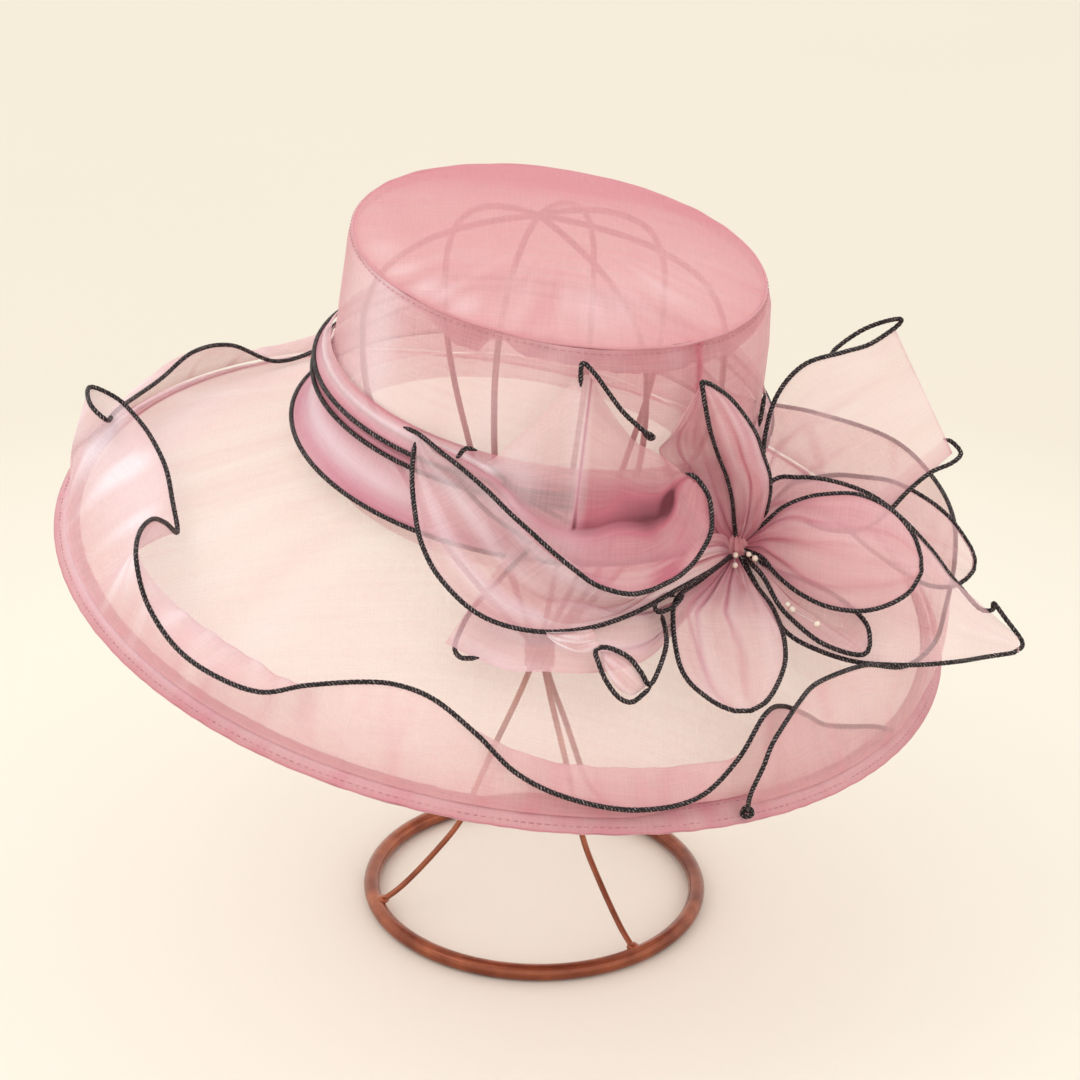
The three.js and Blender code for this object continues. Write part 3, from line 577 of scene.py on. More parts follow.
# Crown tip: a round of dusty-pink organza, laid double and cut flat, sewn to the top of the wall, so that the
# seam allowance hangs inside the wall as a darker band. Small wrinkles run in from the seam.
TIP_RADIUS = (94, 93.3)
TIP_HEIGHT = 101.6
TIP_DOME = 11.4


def tip_surface(u, v):
    share = 1 - v
    degrees = 360 * u
    turn = math.radians(degrees)
    lift = TIP_DOME * (1 - share * share)
    lift += 0.8 * around(degrees, 66, v * 5) * math.exp(-v / 0.11) * min(v / 0.03, 1)
    soft = noise.noise(Vector((share * math.cos(turn) * 2, share * math.sin(turn) * 2, 4)))
    lift += 0.4 * soft * min(v / 0.1, 1)
    return Vector((share * TIP_RADIUS[0] * math.cos(turn), share * TIP_RADIUS[1] * math.sin(turn),
                   TIP_HEIGHT + 0.6 + lift))


# how far behind the middle of the tip the stand's wires meet: there and in front the cloth lies on them
STAND_APEX = 19
# painted highlights on the tip: at the left front rim, at the front and at the right front
TIP_SHINE = [[226, 34, 0.09, 0.09, 0.2], [262, 45, 0.3, 0.25, 0.12], [-40, 40, 0.35, 0.25, 0.12]]


def tip_paint(u, v):
    degrees = 360 * u
    rim = 0.4 * math.exp(-v / 0.015) + 0.35 * max(around(degrees, 66, v * 5), 0) * math.exp(-v / 0.15)
    behind = (1 - v) * TIP_RADIUS[1] * math.sin(math.radians(degrees)) - STAND_APEX
    back = 0.6 * near(min(behind, 45), 45, 28) * min((1 - v) / 0.1, 1)
    return rim + back, shine(TIP_SHINE, degrees, v) * (1 + 1.2 * around(degrees, 60, v * 2))


tip_cloth = organza(
    "double_rose_organza", "#D99FA1", "#CB7F88", 0.78, 1.0, sheen=0.1, rough=0.65, slubs=0.24, flat_cut=True)
tip = cloth("crown_tip_cloth", tip_surface, 300, 60, (0.59, 0.094), tip_cloth, tip_paint, join=True)
fit(tip, "rose_cloth", "crown_tip")

# columns: angle, depth of the allowance below the seam
ALLOWANCE = [
    [-180, 4], [-150, 3], [-128, 4], [-122, 8], [-117, 11], [-111, 11], [-108, 4], [-104, 3], [-101, 6],
    [-97, 7], [-92, 7.5], [-85, 8], [-72, 10], [-60, 11], [-50, 10], [-40, 10], [-20, 7], [40, 5], [180, 4],
]


def allowance_surface(u, v):
    degrees = 360 * u - 180
    depth = look_up(ALLOWANCE, degrees)[1] + 1.2 * noise.noise(Vector((degrees / 4, 0, 0)))
    return wall_point(degrees, 100.8 - depth * v, -1.6 - 0.5 * v + 0.4 * around(degrees, 80) * v)


def allowance_paint(u, v):
    degrees = 360 * u - 180
    patch = facing(degrees, -115, 6) + 0.5 * facing(degrees, -62, 34)
    return 0.3 + 0.6 * patch + 0.7 * around(degrees, 70, v) - 0.3 * v, 0.0


allowance_cloth = organza("seam_allowance_organza", "#D08791", "#B0586A", 0.8, 1.0)
allowance = cloth(
    "tip_allowance_cloth", allowance_surface, 360, 4, (0.6, 0.009), allowance_cloth, allowance_paint,
    join=True,
)
fit(allowance, "rose_cloth", "tip_seam_allowance")

ROLL_RADIUS = 0.75
# The seam's roll: the folded edge of both cloths, with a row of pink machine stitches just below it
seam_points = []
for k in range(361):
    turn = math.radians(k)
    right = (TIP_RADIUS[0] + 0.3) * math.cos(turn)
    back = (TIP_RADIUS[1] + 0.3) * math.sin(turn)
    seam_points.append(HAT @ Vector((right, back, TIP_HEIGHT + 0.5 * around(k, 40))))
roll_cloth = organza("seam_roll_organza", "#DE9FA6", "#C97F8A", 0.8, 1.0)
seam_roll = wire("tip_seam_roll", seam_points, ROLL_RADIUS * MM, roll_cloth, step=0.0015, sides=8)
fit(seam_roll, "rose_cloth")

# Pink polyester sewing thread, in stitches about 2.4 mm long that show as small raised dashes
stitch_thread = tinted("pink_sewing_thread", 2500, 1, "#B06A76", "#CF929C", {"Roughness": 0.5})


def stitches(name, points, pitch, length):
    """A row of stitches along points in metres, as small rounded dashes."""
    points = evenly(points, pitch)
    shape = bmesh.new()
    for one, other in zip(points, points[1:]):
        along = other - one
        turned = along.to_track_quat("X", "Z").to_matrix().to_4x4()
        size = Matrix.Diagonal((length / 2, 0.00025, 0.00025, 1))
        bmesh.ops.create_icosphere(
            shape, subdivisions=1, radius=1, matrix=Matrix.Translation(one.lerp(other, 0.5)) @ turned @ size)
    smooth(shape)
    return fit(add_object(name, shape, stitch_thread), "rose_cloth")


STITCH_PITCH = 0.0034
TIP_ROW = 99.9
tip_row = [HAT @ wall_point(k, TIP_ROW, 0.9 + 0.9 * around(k, 12, TIP_ROW / 60)) for k in range(361)]
stitches("tip_seam_stitches", tip_row, STITCH_PITCH, 0.0024)

# Hatband: three soft ribbons of the same organza, gathered along the crown, each tucked under the one above.
# The free edges are corded. The lowest flares out on to the brim.
# columns: height, distance out from the wall
SASH_UPPER = [[46.5, 1.9], [44.5, 3.0], [41.5, 4.2], [38.5, 5.6], [36.2, 7.4]]
SASH_MIDDLE = [[42, 1.6], [35.5, 3.2], [32.5, 4.9], [30, 7.2]]
SASH_LOWER = [[34, 1.5], [29, 3.6], [23, 5.4], [16, 6.0], [10, 7.4], [6.4, 10.4], [4.6, 13.2]]
SASH_CORDS = [[36, 7.8, 306], [29.8, 7.6, 306], [4.5, 13.4, 312]]
SASH_CORD_START = -12

# Black cord: thin wire whipped round with shiny black thread, so that it has fine slanting ribs, about
# 1.5 mm apart, with a small glint of light on each.
WHIPPING = 0.0013
WHIPPING_SLANT = math.radians(35)
CORD_TWIST = 0.0026
black, tree, shader = new_material("black_whipped_cord", {"Roughness": 0.55, "Specular IOR Level": 0.3})
spread = add_node(tree, "UVMap")
turned = {"Vector": spread.outputs["UV"], "Rotation": (0, 0, WHIPPING_SLANT)}
slanted = add_node(tree, "Mapping", turned)
pitch = {"Vector": slanted.outputs["Vector"], "Scale": 0.314 / WHIPPING, "Distortion": 0.8, "Detail": 1}
ribs = add_node(tree, "TexWave", pitch, wave_type="BANDS", bands_direction="X")
# the glints are painted: a light grey in the base colour on the crests of the ribs
glints = add_node(tree, "TexNoise", {"Vector": spread.outputs["UV"], "Scale": 900, "Detail": 1})
lit = add_node(tree, "Math", {0: ribs.outputs["Fac"], 1: glints.outputs["Fac"]}, operation="MULTIPLY")
thread_shade = add_node(tree, "ValToRGB", {"Fac": lit.outputs[0]})
thread_shade.color_ramp.elements[0].position = 0.42
thread_shade.color_ramp.elements[0].color = linear("#140E10")
thread_shade.color_ramp.elements[1].position = 0.62
thread_shade.color_ramp.elements[1].color = linear("#A08F90")
tree.links.new(thread_shade.outputs["Color"], shader.inputs["Base Color"])
ridge = add_node(tree, "Bump", {"Height": ribs.outputs["Fac"], "Strength": 0.5, "Distance": 0.0003})
tree.links.new(ridge.outputs["Normal"], shader.inputs["Normal"])

CORD_RADIUS = 1.1


def cord(name, places, *nodes):
    """A whipped cord through points in the hat's millimetres, with ends that taper to the wire."""
    points = [HAT @ place for place in places]
    piece = wire(name, points, CORD_RADIUS * MM, black, step=0.0007, sides=8, taper=0.003,
                 relief=lambda s, turn: 0.07 * math.sin(2 * math.pi * s / CORD_TWIST + turn))
    return fit(piece, "black_cord", *nodes)


def sash(name, rows, node, size, material, seed, shine):
    """One ribbon of the hatband: long soft folds run along it; its left side and the crests of its folds have
    a painted highlight, and the troughs painted shade.
    """
    def fold(degrees, v):
        return around(degrees, 9, seed + v * 3.2)

    def surface(u, v):
        height, out = between(rows, v)
        fine = around(360 * u, 70, seed + v * 1.2)
        edge = edges_out(v, 0.15)
        return wall_point(360 * u, height + 1.0 * fold(360 * u, v) * edge,
                          out + (1.5 * fold(360 * u, v) + 0.35 * fine) * edge)

    def paint(u, v):
        degrees = 360 * u
        left = facing(degrees, 205, 45)
        # painted shade in the troughs of the folds; painted highlight on the left side and on the fold crests
        density_and_shade = 0.4 * math.exp(-v / 0.12) + 0.2 * math.exp(-(1 - v) / 0.1) - 0.5 * min(fold(degrees, v), 0)
        density_and_shade += 0.35 * facing(degrees, -60, 60) + 0.3 * near(v, 0.85, 0.2)
        density_and_shade += 0.35 * facing(degrees, 245, 75) - 0.3 * facing(degrees, 90, 60)
        return density_and_shade, shine * left * near(v, 0.5, 0.2) + 0.4 * max(fold(degrees, v) - 0.05, 0)

    piece = cloth(name, surface, 360, 20, size, material, paint, join=True)
    fit(piece, "organza", node)


upper_cloth = organza("pale_sash_organza", "#EBC3C5", "#CB7F8E", 0.42, 0.95, 0.5, rough=0.34, slubs=0.16)
middle_cloth = organza("deep_sash_organza", "#DC98A5", "#BE6B7D", 0.6, 0.98, 0.4, rough=0.34, slubs=0.16)
lower_cloth = organza("wide_sash_organza", "#DFA3B0", "#C6788C", 0.5, 0.96, 0.5, rough=0.32, slubs=0.2)
sash("upper_sash_ribbon", SASH_UPPER, "sash_upper", (0.65, 0.012), upper_cloth, 1, 0.45)
sash("middle_sash_ribbon", SASH_MIDDLE, "sash_middle", (0.65, 0.0135), middle_cloth, 5, 0.05)
sash("lower_sash_ribbon", SASH_LOWER, "sash_lower", (0.67, 0.033), lower_cloth, 9, 0.6)
for i, (height, out, end) in enumerate(SASH_CORDS):
    steps = [SASH_CORD_START + (end - SASH_CORD_START) * k / 300 for k in range(301)]
    cord(f"sash_edge_cord_{i + 1}", [wall_point(step, height, out) for step in steps], f"sash_cord_{i + 1}")

# Brim: one layer of the sheerest organza, cut as a wide ring and sewn to the crown's foot. It slopes down
# to a turned hem, and a few soft folds run out across it at the left back.
BRIM_RADIUS = (211.7, 222.3)
BRIM_DROP = 63.5
BRIM_LEAN = {"right": 1.12, "forward": -0.85}
BRIM_TURN = (
    Matrix.Rotation(math.radians(BRIM_LEAN["right"]), 3, "Y")
    @ Matrix.Rotation(math.radians(BRIM_LEAN["forward"]), 3, "X")
)
FOOT_RADIUS = 98
HEM_WIDTH = 11
HEM_ROWS = (2.2, 8.8)
BRIM_SLOPE = BRIM_DROP / (217 - FOOT_RADIUS)


def edge_point(degrees, inward, up):
    """A place by the brim's edge: this far in from it, and this far up from its plane."""
    turn = math.radians(degrees)
    a, b = BRIM_RADIUS
    r = a * b / math.hypot(b * math.cos(turn), a * math.sin(turn)) - inward
    return BRIM_TURN @ Vector((r * math.cos(turn), r * math.sin(turn), up - BRIM_DROP))


def brim_surface(u, v):
    turn = 2 * math.pi * u
    inner = Vector(((FOOT_RADIUS - 0.5) * math.cos(turn), (FOOT_RADIUS - 0.5) * math.sin(turn), -1.2))
    inward = HEM_WIDTH - 0.5
    point = inner.lerp(edge_point(360 * u, inward, inward * BRIM_SLOPE), v)
    off = turn_from(360 * u, 160)
    point.z += 2.2 * near(off, 0, 30) * math.sin(math.pi * v) * math.sin(math.radians(off * 7))
    point.z += 0.8 * math.sin(math.pi * v) * around(360 * u, 18, v)
    return point


def brim_paint(u, v):
    degrees = 360 * u
    # painted highlight on the crests of the soft folds and along the left; painted shade in their troughs
    left = facing(degrees, 175, 60)
    folds = around(degrees, 48, v * 0.6) * (0.25 + 0.75 * left)
    right = 0.12 * facing(degrees, 0, 70)
    density_and_shade = 0.15 * math.exp(-v / 0.02) + 0.1 * math.exp(-(1 - v) / 0.03) - 0.25 * min(folds, 0) + right
    return density_and_shade, 0.55 * max(folds, 0) + 0.4 * left * near(v, 0.75, 0.3)


brim_cloth = organza("brim_organza", "#EACAC4", "#D9989B", 0.47, 0.9, sheen=0.25, slubs=0.08, flat_cut=True)
brim = cloth("brim_cloth", brim_surface, 400, 44, (1.3, 0.122), brim_cloth, brim_paint, join=True)
fit(brim, "organza", "brim")

# Hem: the brim's edge, turned over twice and sewn flat with two rows of stitches, which go in under the
# frill at the back
hem_cloth = organza("hem_organza", "#E8BBBC", "#CC8892", 0.6, 1.0, slubs=0.16)


def hem_surface(u, v):
    inward = HEM_WIDTH * (1 - v)
    puff = 0.7 * math.sin(math.pi * v)
    puff += 0.45 * around(360 * u, 190, v) - 0.3 * near(v, 0.2, 0.06) - 0.3 * near(v, 0.8, 0.06)
    return edge_point(360 * u, inward, inward * BRIM_SLOPE + puff)


def hem_paint(u, v):
    # painted highlight at the left; at the back the density is cut and a painted highlight added, a painted
    # light that lifts the shade there
    left = facing(360 * u, 200, 50)
    behind = facing(360 * u, 110, 52)
    density_and_shade = 0.8 * math.exp(-v / 0.05) + 0.5 * math.exp(-(1 - v) / 0.06)
    density_and_shade += 0.5 * max(around(360 * u, 150, v), 0)
    return (density_and_shade + 0.5) * (1 - 0.9 * behind), 0.3 * left * near(v, 0.5, 0.2) + 0.2 * behind


hem = cloth("brim_hem_cloth", hem_surface, 600, 12, (1.364, 0.012), hem_cloth, hem_paint, join=True)
thickness = hem.modifiers.new("two_layers", "SOLIDIFY")
thickness.thickness = 0.0012
thickness.offset = 0
fit(hem, "rose_cloth", "brim_hem")
for i, inward in enumerate(HEM_ROWS):
    row = [HAT @ edge_point(step / 2, inward, inward * BRIM_SLOPE + 1.0) for step in range(330, 781)]
    stitches(f"hem_stitches_{i + 1}", row, STITCH_PITCH, 0.0023)

# Frill: a strip of organza sewn to the hem, whose corded free edge stands up over the brim in waves
# columns: angle of the seam, angle of the free edge, then inward and up of the free edge, and inward and up
# of the crest of the fold between them
FRILL = [
    [-60, -60, 0, 5, 0, 3], [-58, -61, -4, 18, 2, 10], [-55, -60, -3, 30, 4, 18], [-52, -58, 2, 41, 8, 24],
    [-48, -52, 15, 45, 12, 26], [-43, -46, 22, 46, 14, 26], [-38, -37, 19, 45, 12, 26],
    [-31, -30, 9, 39, 8, 22], [-22, -21, 5, 38, 4, 20], [-13, -13, 6, 42, 2, 22], [-4, -4, 5, 50, 4, 26],
    [5, 5, 4, 56, 6, 30], [15, 15, 6, 58, 4, 30], [25, 26, 11, 57, 4, 28], [38, 40, 24, 48, 10, 28],
    [52, 54, 34, 38, 18, 26], [66, 66, 24, 46, 16, 26], [80, 80, 10, 52, 6, 28], [95, 95, 14, 50, 4, 26],
    [110, 110, 30, 40, 14, 26], [124, 124, 40, 28, 22, 24], [134, 134, 40, 25, 20, 22],
    [142, 142, 30, 36, 14, 24], [150, 150, 26, 39, 10, 24], [158, 159, 25, 35, 10, 22],
    [165, 168, 22, 36, 10, 22], [171, 180, 20, 46, 10, 26], [176, 187, 18, 55, 8, 30],
    [180, 186, 10, 60, 4, 34], [183, 181, 8, 60, 6, 36], [186, 181, 18, 58, 10, 34],
    [189, 182, 27, 54, 16, 32], [192, 187, 38, 50, 24, 32], [196, 194, 45, 45, 30, 32],
    [200, 201, 46, 38, 30, 28], [204, 207, 44, 33, 28, 24], [207, 211, 32, 46, 22, 28],
    [210, 214, 20, 55, 14, 32], [214, 218, 6, 58, 8, 34], [219, 222, -4, 55, 8, 36],
    [224, 225, -5, 42, 12, 34], [230, 230, -5, 32, 15, 32], [236, 236, -6, 30, 16, 31],
    [242, 242, 0, 29, 14, 30], [247, 247, 6, 38, 10, 30], [252, 252, 18, 41, 10, 26],
    [257, 256.5, 22, 43, 12, 26], [262, 261.5, 18, 43, 12, 28], [267, 267, 13, 34, 14, 30],
    [272, 272, 8, 22, 16, 27], [278, 278, 4, 15, 16, 24], [286, 286, 3, 10.5, 16, 22.5],
    [293, 293.5, 4, 14, 16, 23], [298, 298.5, 8, 28, 12, 24], [302, 303, 16, 43, 10, 24],
    [307, 309, 26, 36, 14, 20], [312, 315, 26, 25, 14, 12], [317, 318.5, 22, 18, 14, 10],
    [323, 326, 12, 12, 9, 8], [327, 330, 6, 6, 6, 5],
]
FRILL_SEAM = (5, 5.3)
FRILL_TUCK = (9, 7.6)
# columns: angle of the seam, the cloth's density there, how much painted white highlight it has
FRILL_LOOK = [
    [-60, 0.2, 0], [-40, 0.1, 0], [0, 0.05, 0], [60, 0.05, 0], [100, -0.1, 0.2], [150, -0.1, 0.3],
    [175, 0.1, 0.9], [190, 0.1, 0.9], [205, 0.0, 0.5], [213, 0.1, 0.8], [224, 0.1, 0.7], [240, 0.05, 0.3],
    [256, 0.05, 0.15], [268, 0.15, 0.05], [285, 0.3, 0], [300, 0.3, 0], [327, 0.4, 0],
]


def frill_point(row, v):
    """A place on the frill: a parabola from the seam through the crest of its fold to the free edge."""
    seam, free, inward, up, crest_in, crest_up = row
    tucked = clamp((seam - 286) / 8)
    seam_in = FRILL_SEAM[0] + (FRILL_TUCK[0] - FRILL_SEAM[0]) * tucked
    seam_up = FRILL_SEAM[1] + (FRILL_TUCK[1] - FRILL_SEAM[1]) * tucked
    s0, s1, s2 = (1 - v) * (1 - 2 * v), 4 * v * (1 - v), v * (2 * v - 1)
    return edge_point(
        seam + (free - seam) * v,
        s0 * seam_in + s1 * crest_in + s2 * inward,
        s0 * seam_up + s1 * crest_up + s2 * up,
    )


def frill_fold(seam, v):
    """The small folds that fan out from the gathered seam."""
    return noise.noise(Vector((seam / 2.6, v * 1.1, 0)))


def frill_surface(u, v):
    row = between(FRILL, u)
    point = frill_point(row, v)
    gather = noise.noise(Vector((row[0] * 1.1, v * 3, 7))) * math.exp(-v / 0.25) * min(v / 0.05, 1)
    point.z += 1.2 * frill_fold(row[0], v) * math.sin(math.pi * v) + 0.9 * gather
    return point


def frill_paint(u, v):
    seam = between(FRILL, u)[0]
    _, density_and_shade, painted_sheen = look_up(FRILL_LOOK, seam)
    fold = frill_fold(seam, v)
    # painted shade in the troughs of the small folds; painted highlight on their crests, strongest at the left
    density_and_shade += 0.35 * math.exp(-v / 0.12) + 0.2 * math.exp(-(1 - v) / 0.02) + 0.45 * max(-fold, 0)
    return density_and_shade, (painted_sheen + 0.1) * (0.6 + 1.2 * max(fold, 0)) * near(v, 0.6, 0.45)


frill_cloth = organza("frill_organza", "#EABFBE", "#CF828C", 0.38, 0.95, sheen=0.4, slubs=0.14)
frill = cloth("frill_strip", frill_surface, 1100, 30, (2.05, 0.062), frill_cloth, frill_paint)
fit(frill, "organza", "brim_frill")
cord("frill_edge_cord", [frill_point(between(FRILL, k / 1200), 1) for k in range(1201)], "frill_cord")
# Its end is tied in a small knot at the hem
knot_middle = frill_point(FRILL[0], 1)
turns = []
for k in range(41):
    turn = 2 * math.pi * 1.6 * k / 40
    lift = 2.4 * k / 40 - 1 + math.sin(turn)
    turns.append(knot_middle + Vector((2.2 * math.cos(turn), 1.4 * math.sin(turn), lift)))
cord("frill_cord_knot", turns)

# Bow flower: loops and leaves of organza that fan out from a knot at the right front. Each is one layer,
# with black whipped cord along its edges, and is gathered in pleats where the knot holds it.
# columns: one edge x y z, the other edge x y z, belly of the middle
PETALS = {
    "petal_1": [
        [-53.5, -91, 43, -51, -89, 45, 0], [-53, -104, 35, -44, -98, 43, 2],
        [-50, -116, 25, -29, -108, 42, 5], [-45, -132, 17, -11, -119, 36, 7],
        [-35, -148, 10, 4, -130, 28.5, 8], [-17, -161, 3, 19, -137, 21.5, 8], [5, -165, 1, 34, -140, 16, 7],
        [28, -159, 2, 49, -137, 14, 5], [49, -145, 5, 62, -125, 16, 4], [69, -120, 6, 77, -104, 24, 3],
        [85, -95, 4, 88, -86, 17, 2], [95, -72, 0, 94, -70, 2, 0],
    ],
    "petal_3": [
        [64, -92, 93, 67, -92, 93, 0], [67, -93, 84, 79, -87, 84, -2], [72, -90, 70, 92, -81, 68, -5],
        [78, -84, 56, 99, -77, 54, -6], [85, -79, 42, 104, -75, 43, -6], [90, -75, 29, 106, -73, 30, -5],
        [93, -71, 18, 105, -70, 15, -3], [96, -69, 6, 99, -69, 4, 0],
    ],
    "petal_3_wing": [
        [64, -87, 87, 65, -88, 91, 0], [60, -89, 77, 68, -90, 83, 1], [55, -93, 65, 73, -87, 69, 3],
        [52, -91, 56, 79, -81, 55, 4], [61, -88.5, 44, 86, -76, 41, 4], [71, -86, 28, 91, -72, 28, 3],
        [84, -81, 10, 94, -68, 15, 1], [96, -69, 4, 97, -67, 5, 0],
    ],
    "petal_4": [
        [98, -65, 5, 99, -67, 3, 0], [105, -45, 23, 111, -49, 15, 0], [104, -32, 40, 127, -46, 12, 1],
        [107, -21, 57, 146, -45, 10, 2], [118, -8, 68, 163, -41, 15.5, 3],
        [136, 1, 73, 174, -33.5, 25.5, 3], [148, 9, 75, 183, -27.5, 33.5, 2],
        [158, 11, 84, 192, -19, 40, 0],
    ],
    "petal_5": [
        [98, -68, 4, 98, -69, 2, 0], [107, -68, 16, 107, -79, 5, 1], [114, -67, 25, 114, -87, 2, 3],
        [123, -68, 32, 123, -96, 0, 6], [132, -71, 37, 134, -103, -1, 8], [143, -73, 40, 144, -107, 0, 8],
        [153, -77, 40, 154, -108, 2, 7], [163, -80, 36, 164, -106, 6, 4], [171, -86, 30, 172, -101, 11, 2],
        [175, -91, 23, 176, -95, 18, 0],
    ],
    "petal_6": [
        [98, -66, 3, 98, -68, 1, 0], [109, -43, 23, 113, -90, -13, 1], [122, -42, 28, 123, -104, -18, 3],
        [138, -43, 29, 138, -108, -22, 5], [155, -45, 26, 154, -111, -23, 6],
        [170, -49, 19, 171, -109, -23, 6], [186, -55, 8, 186, -103, -24, 5],
        [199, -58, -4, 202, -96, -24, 3], [215, -65, -12.5, 217, -83, -27, 1],
        [231, -71, -21, 232, -78, -25, 0],
    ],
    "petal_7": [
        [99, -63, 1, 99, -65, -1, 0], [118, -31, 15, 122, -36, 9, 0], [128, -26, 19, 138, -35, 8, 2],
        [141, -21, 21, 148, -36, 3, 3], [154, -17, 20, 161, -38, -5, 4], [168, -15, 19, 178, -41, -13, 4],
        [183, -15, 14, 191, -41, -18, 4], [197, -18, 7, 202, -38, -19, 3], [209, -22, -4, 209, -33, -17, 2],
        [213, -25, -10, 213, -28, -14, 0],
    ],
    "petal_8": [
        [96, -70, -1, 98, -70, 0, 0], [81, -95, -2, 106, -86, -5, 2], [69, -120, 1, 113, -102, -6, 5],
        [68.5, -132, -6, 117, -119, -7, 7], [72, -147, -14, 118.5, -132, -9, 7],
        [77, -156, -18, 118, -143, -11, 6], [84.5, -164, -19.5, 115, -154, -15, 4],
        [91, -169, -20, 110.5, -163.5, -18, 2], [97, -171.5, -20, 104, -169.5, -20, 0],
    ],
    "petal_9": [
        [98, -69, 0, 99, -68, 1, 0], [108, -86, 0, 113, -82, 1, 0], [117, -97, -8, 127, -87, 1, 1],
        [126, -103, -13, 137.5, -92, 0, 3], [136, -109, -16.5, 149, -97, -4, 3],
        [146, -113, -17.5, 156, -105, -7, 2], [153, -115, -17, 158, -111, -12, 1],
        [156, -115, -16.3, 157.5, -114, -15, 0],
    ],
    "petal_10": [
        [-5, -119, 16, -29, -158, -15, 0], [8, -124, 11, -13, -168, -15.5, 2],
        [17, -128, 9, 0, -173, -15, 4], [27, -129, 8, 15, -173, -13, 5], [38, -130, 5, 33, -171, -12, 5],
        [48, -126, 1, 49, -163, -11, 3], [60, -115, -3, 60, -152, -10, 1], [77, -97, -5, 75, -120, -8, 0],
        [91, -78, -6, 90, -84, -7, 0],
    ],
    "petal_10_curl": [
        [36, -167, -3, 37, -168, -4, 0], [42, -168, -2, 39, -173, -7, 1], [49, -169, -4, 44, -178, -12, 2],
        [55, -171, -9, 51, -179, -15, 1], [59, -171, -12, 57, -173, -14, 0],
    ],
    "petal_10_fold": [
        [12, -166, 2, 13, -166.5, 0, 0], [18, -167.5, 4, 19, -169, -2, 0.5],
        [25, -168, 6, 27, -169.5, -4, 1], [31, -167, 7.5, 36, -168, -1, 0.5],
    ],
}
# columns: near edge x y z, valley x y z, upper edge x y z
PETAL_2 = [
    [-49, -93, 45.5, -44, -94, 44.5, -41, -96, 46.5], [-37, -107, 45, -31, -105, 45, -28, -106, 48],
    [-22, -120, 41, -20, -112, 43, -21, -111, 50], [-12, -130, 38, -12, -115, 39, -14, -112, 60],
    [0, -140, 34, -1, -119, 31.5, -2, -110, 75.5], [14, -146, 27, 14, -121, 27, 12.5, -106, 95],
    [27.5, -150, 20.5, 27.5, -120, 28.5, 21.5, -104, 85], [41, -151, 17.5, 38, -117, 32, 30.5, -101, 73.5],
    [53.5, -145, 17, 50, -111, 31, 40, -98, 63], [67, -130, 18, 57.5, -103, 30.5, 49, -95, 58],
    [76.5, -114, 22.5, 61, -99, 35.5, 55, -96, 55.5], [79, -102, 32, 62, -96, 43, 59, -95, 52.5],
    [74, -96, 44, 66, -94, 47, 60.5, -94, 51.5],
]
# The cord of its near edge goes on past the cloth at both ends
CORD_2 = [
    [-59.5, -88, 48], [-52.5, -89.5, 46.5], [-42, -101, 45.5], [-31, -112, 44], [-20, -122, 41],
    [-9, -133, 37.5], [0.5, -140, 34], [10.5, -145, 29], [21, -149, 24], [31, -151, 19.5], [44, -151, 17.5],
    [53.5, -145, 17], [60.5, -138, 17.5], [67, -130, 18], [72.5, -121, 19.5], [76, -114, 22],
    [79, -108, 27], [79.5, -103, 31.5], [76.5, -98, 41], [70, -94.5, 47.5], [65, -93, 48.5],
]
# columns: flat width and length in metres, flat area in square metres, what it rests on
PETAL_CUTS = {
    "petal_1": ((0.036, 0.2), 0.0055, "petal_2_leaf"),
    "petal_3": ((0.026, 0.1), 0.0018, "flower_knot_cloth"),
    "petal_3_wing": ((0.026, 0.1), 0.0016, "flower_knot_cloth"),
    "petal_4": ((0.062, 0.125), 0.0062, "flower_knot_cloth"),
    "petal_5": ((0.046, 0.1), 0.0036, "flower_knot_cloth"),
    "petal_6": ((0.085, 0.145), 0.0083, "brim_cloth"),
    "petal_7": ((0.036, 0.125), 0.0031, "brim_cloth"),
    "petal_8": ((0.06, 0.105), 0.004, "brim_cloth"),
    "petal_9": ((0.025, 0.068), 0.0011, "flower_knot_cloth"),
    "petal_10": ((0.055, 0.12), 0.0046, "brim_cloth"),
    "petal_10_curl": ((0.012, 0.03), 0.00028, "petal_10_leaf"),
    "petal_10_fold": ((0.012, 0.024), 0.00018, "petal_10_leaf"),
    "petal_2": ((0.1, 0.14), 0.0079, "crown_wall_cloth"),
}
# columns: the end that the knot holds (0 or 1), the leaf's density, how much denser it is at the knot (past 1
# this is painted shade), how much painted white highlight it has, and where across it the creases run that fan
# out from the knot
PETAL_LOOKS = {
    "petal_1": (1, 0.05, 0.6, 0.5, (0.35, 0.68)),
    "petal_3": (1, 0.55, 0.4, 0.25, (0.5,)),
    "petal_3_wing": (1, 0.5, 0.6, 0.1, (0.4, 0.7)),
    "petal_4": (0, -0.1, 0.9, 0.2, (0.3, 0.62)),
    "petal_5": (0, 0.38, 0.8, 0.1, (0.3, 0.55, 0.8)),
    "petal_6": (0, -0.2, 0.9, 0.2, (0.25, 0.5)),
    "petal_7": (0, 0.05, 0.6, 0.1, (0.5,)),
    "petal_8": (0, 0.05, 1.15, 0.25, (0.25, 0.33, 0.6)),
    "petal_9": (0, 0.15, 0.6, 0.1, (0.45,)),
    "petal_10": (1, 0.25, 0.5, 0.3, (0.3, 0.7)),
    "petal_10_curl": (1, 0.2, 0.0, 0.4, ()),
    "petal_10_fold": (1, 0.0, 0.0, 0.9, ()),
}


def crease(name, u, v):
    """The creases of a leaf: ridges that fan out from the knot and fade towards the free end."""
    end, _, _, _, lines = PETAL_LOOKS[name]
    away = abs(u - end)
    total = 0
    for i, line in enumerate(lines):
        wander = line + 0.16 * noise.noise(Vector((away * 2.2, i * 3.7, 2.3 * len(name))))
        fade = max(1 - away * (0.9 + 0.5 * (i % 2)), 0)
        total += near(v, wander, 0.02 + 0.03 * away) * fade
    return total


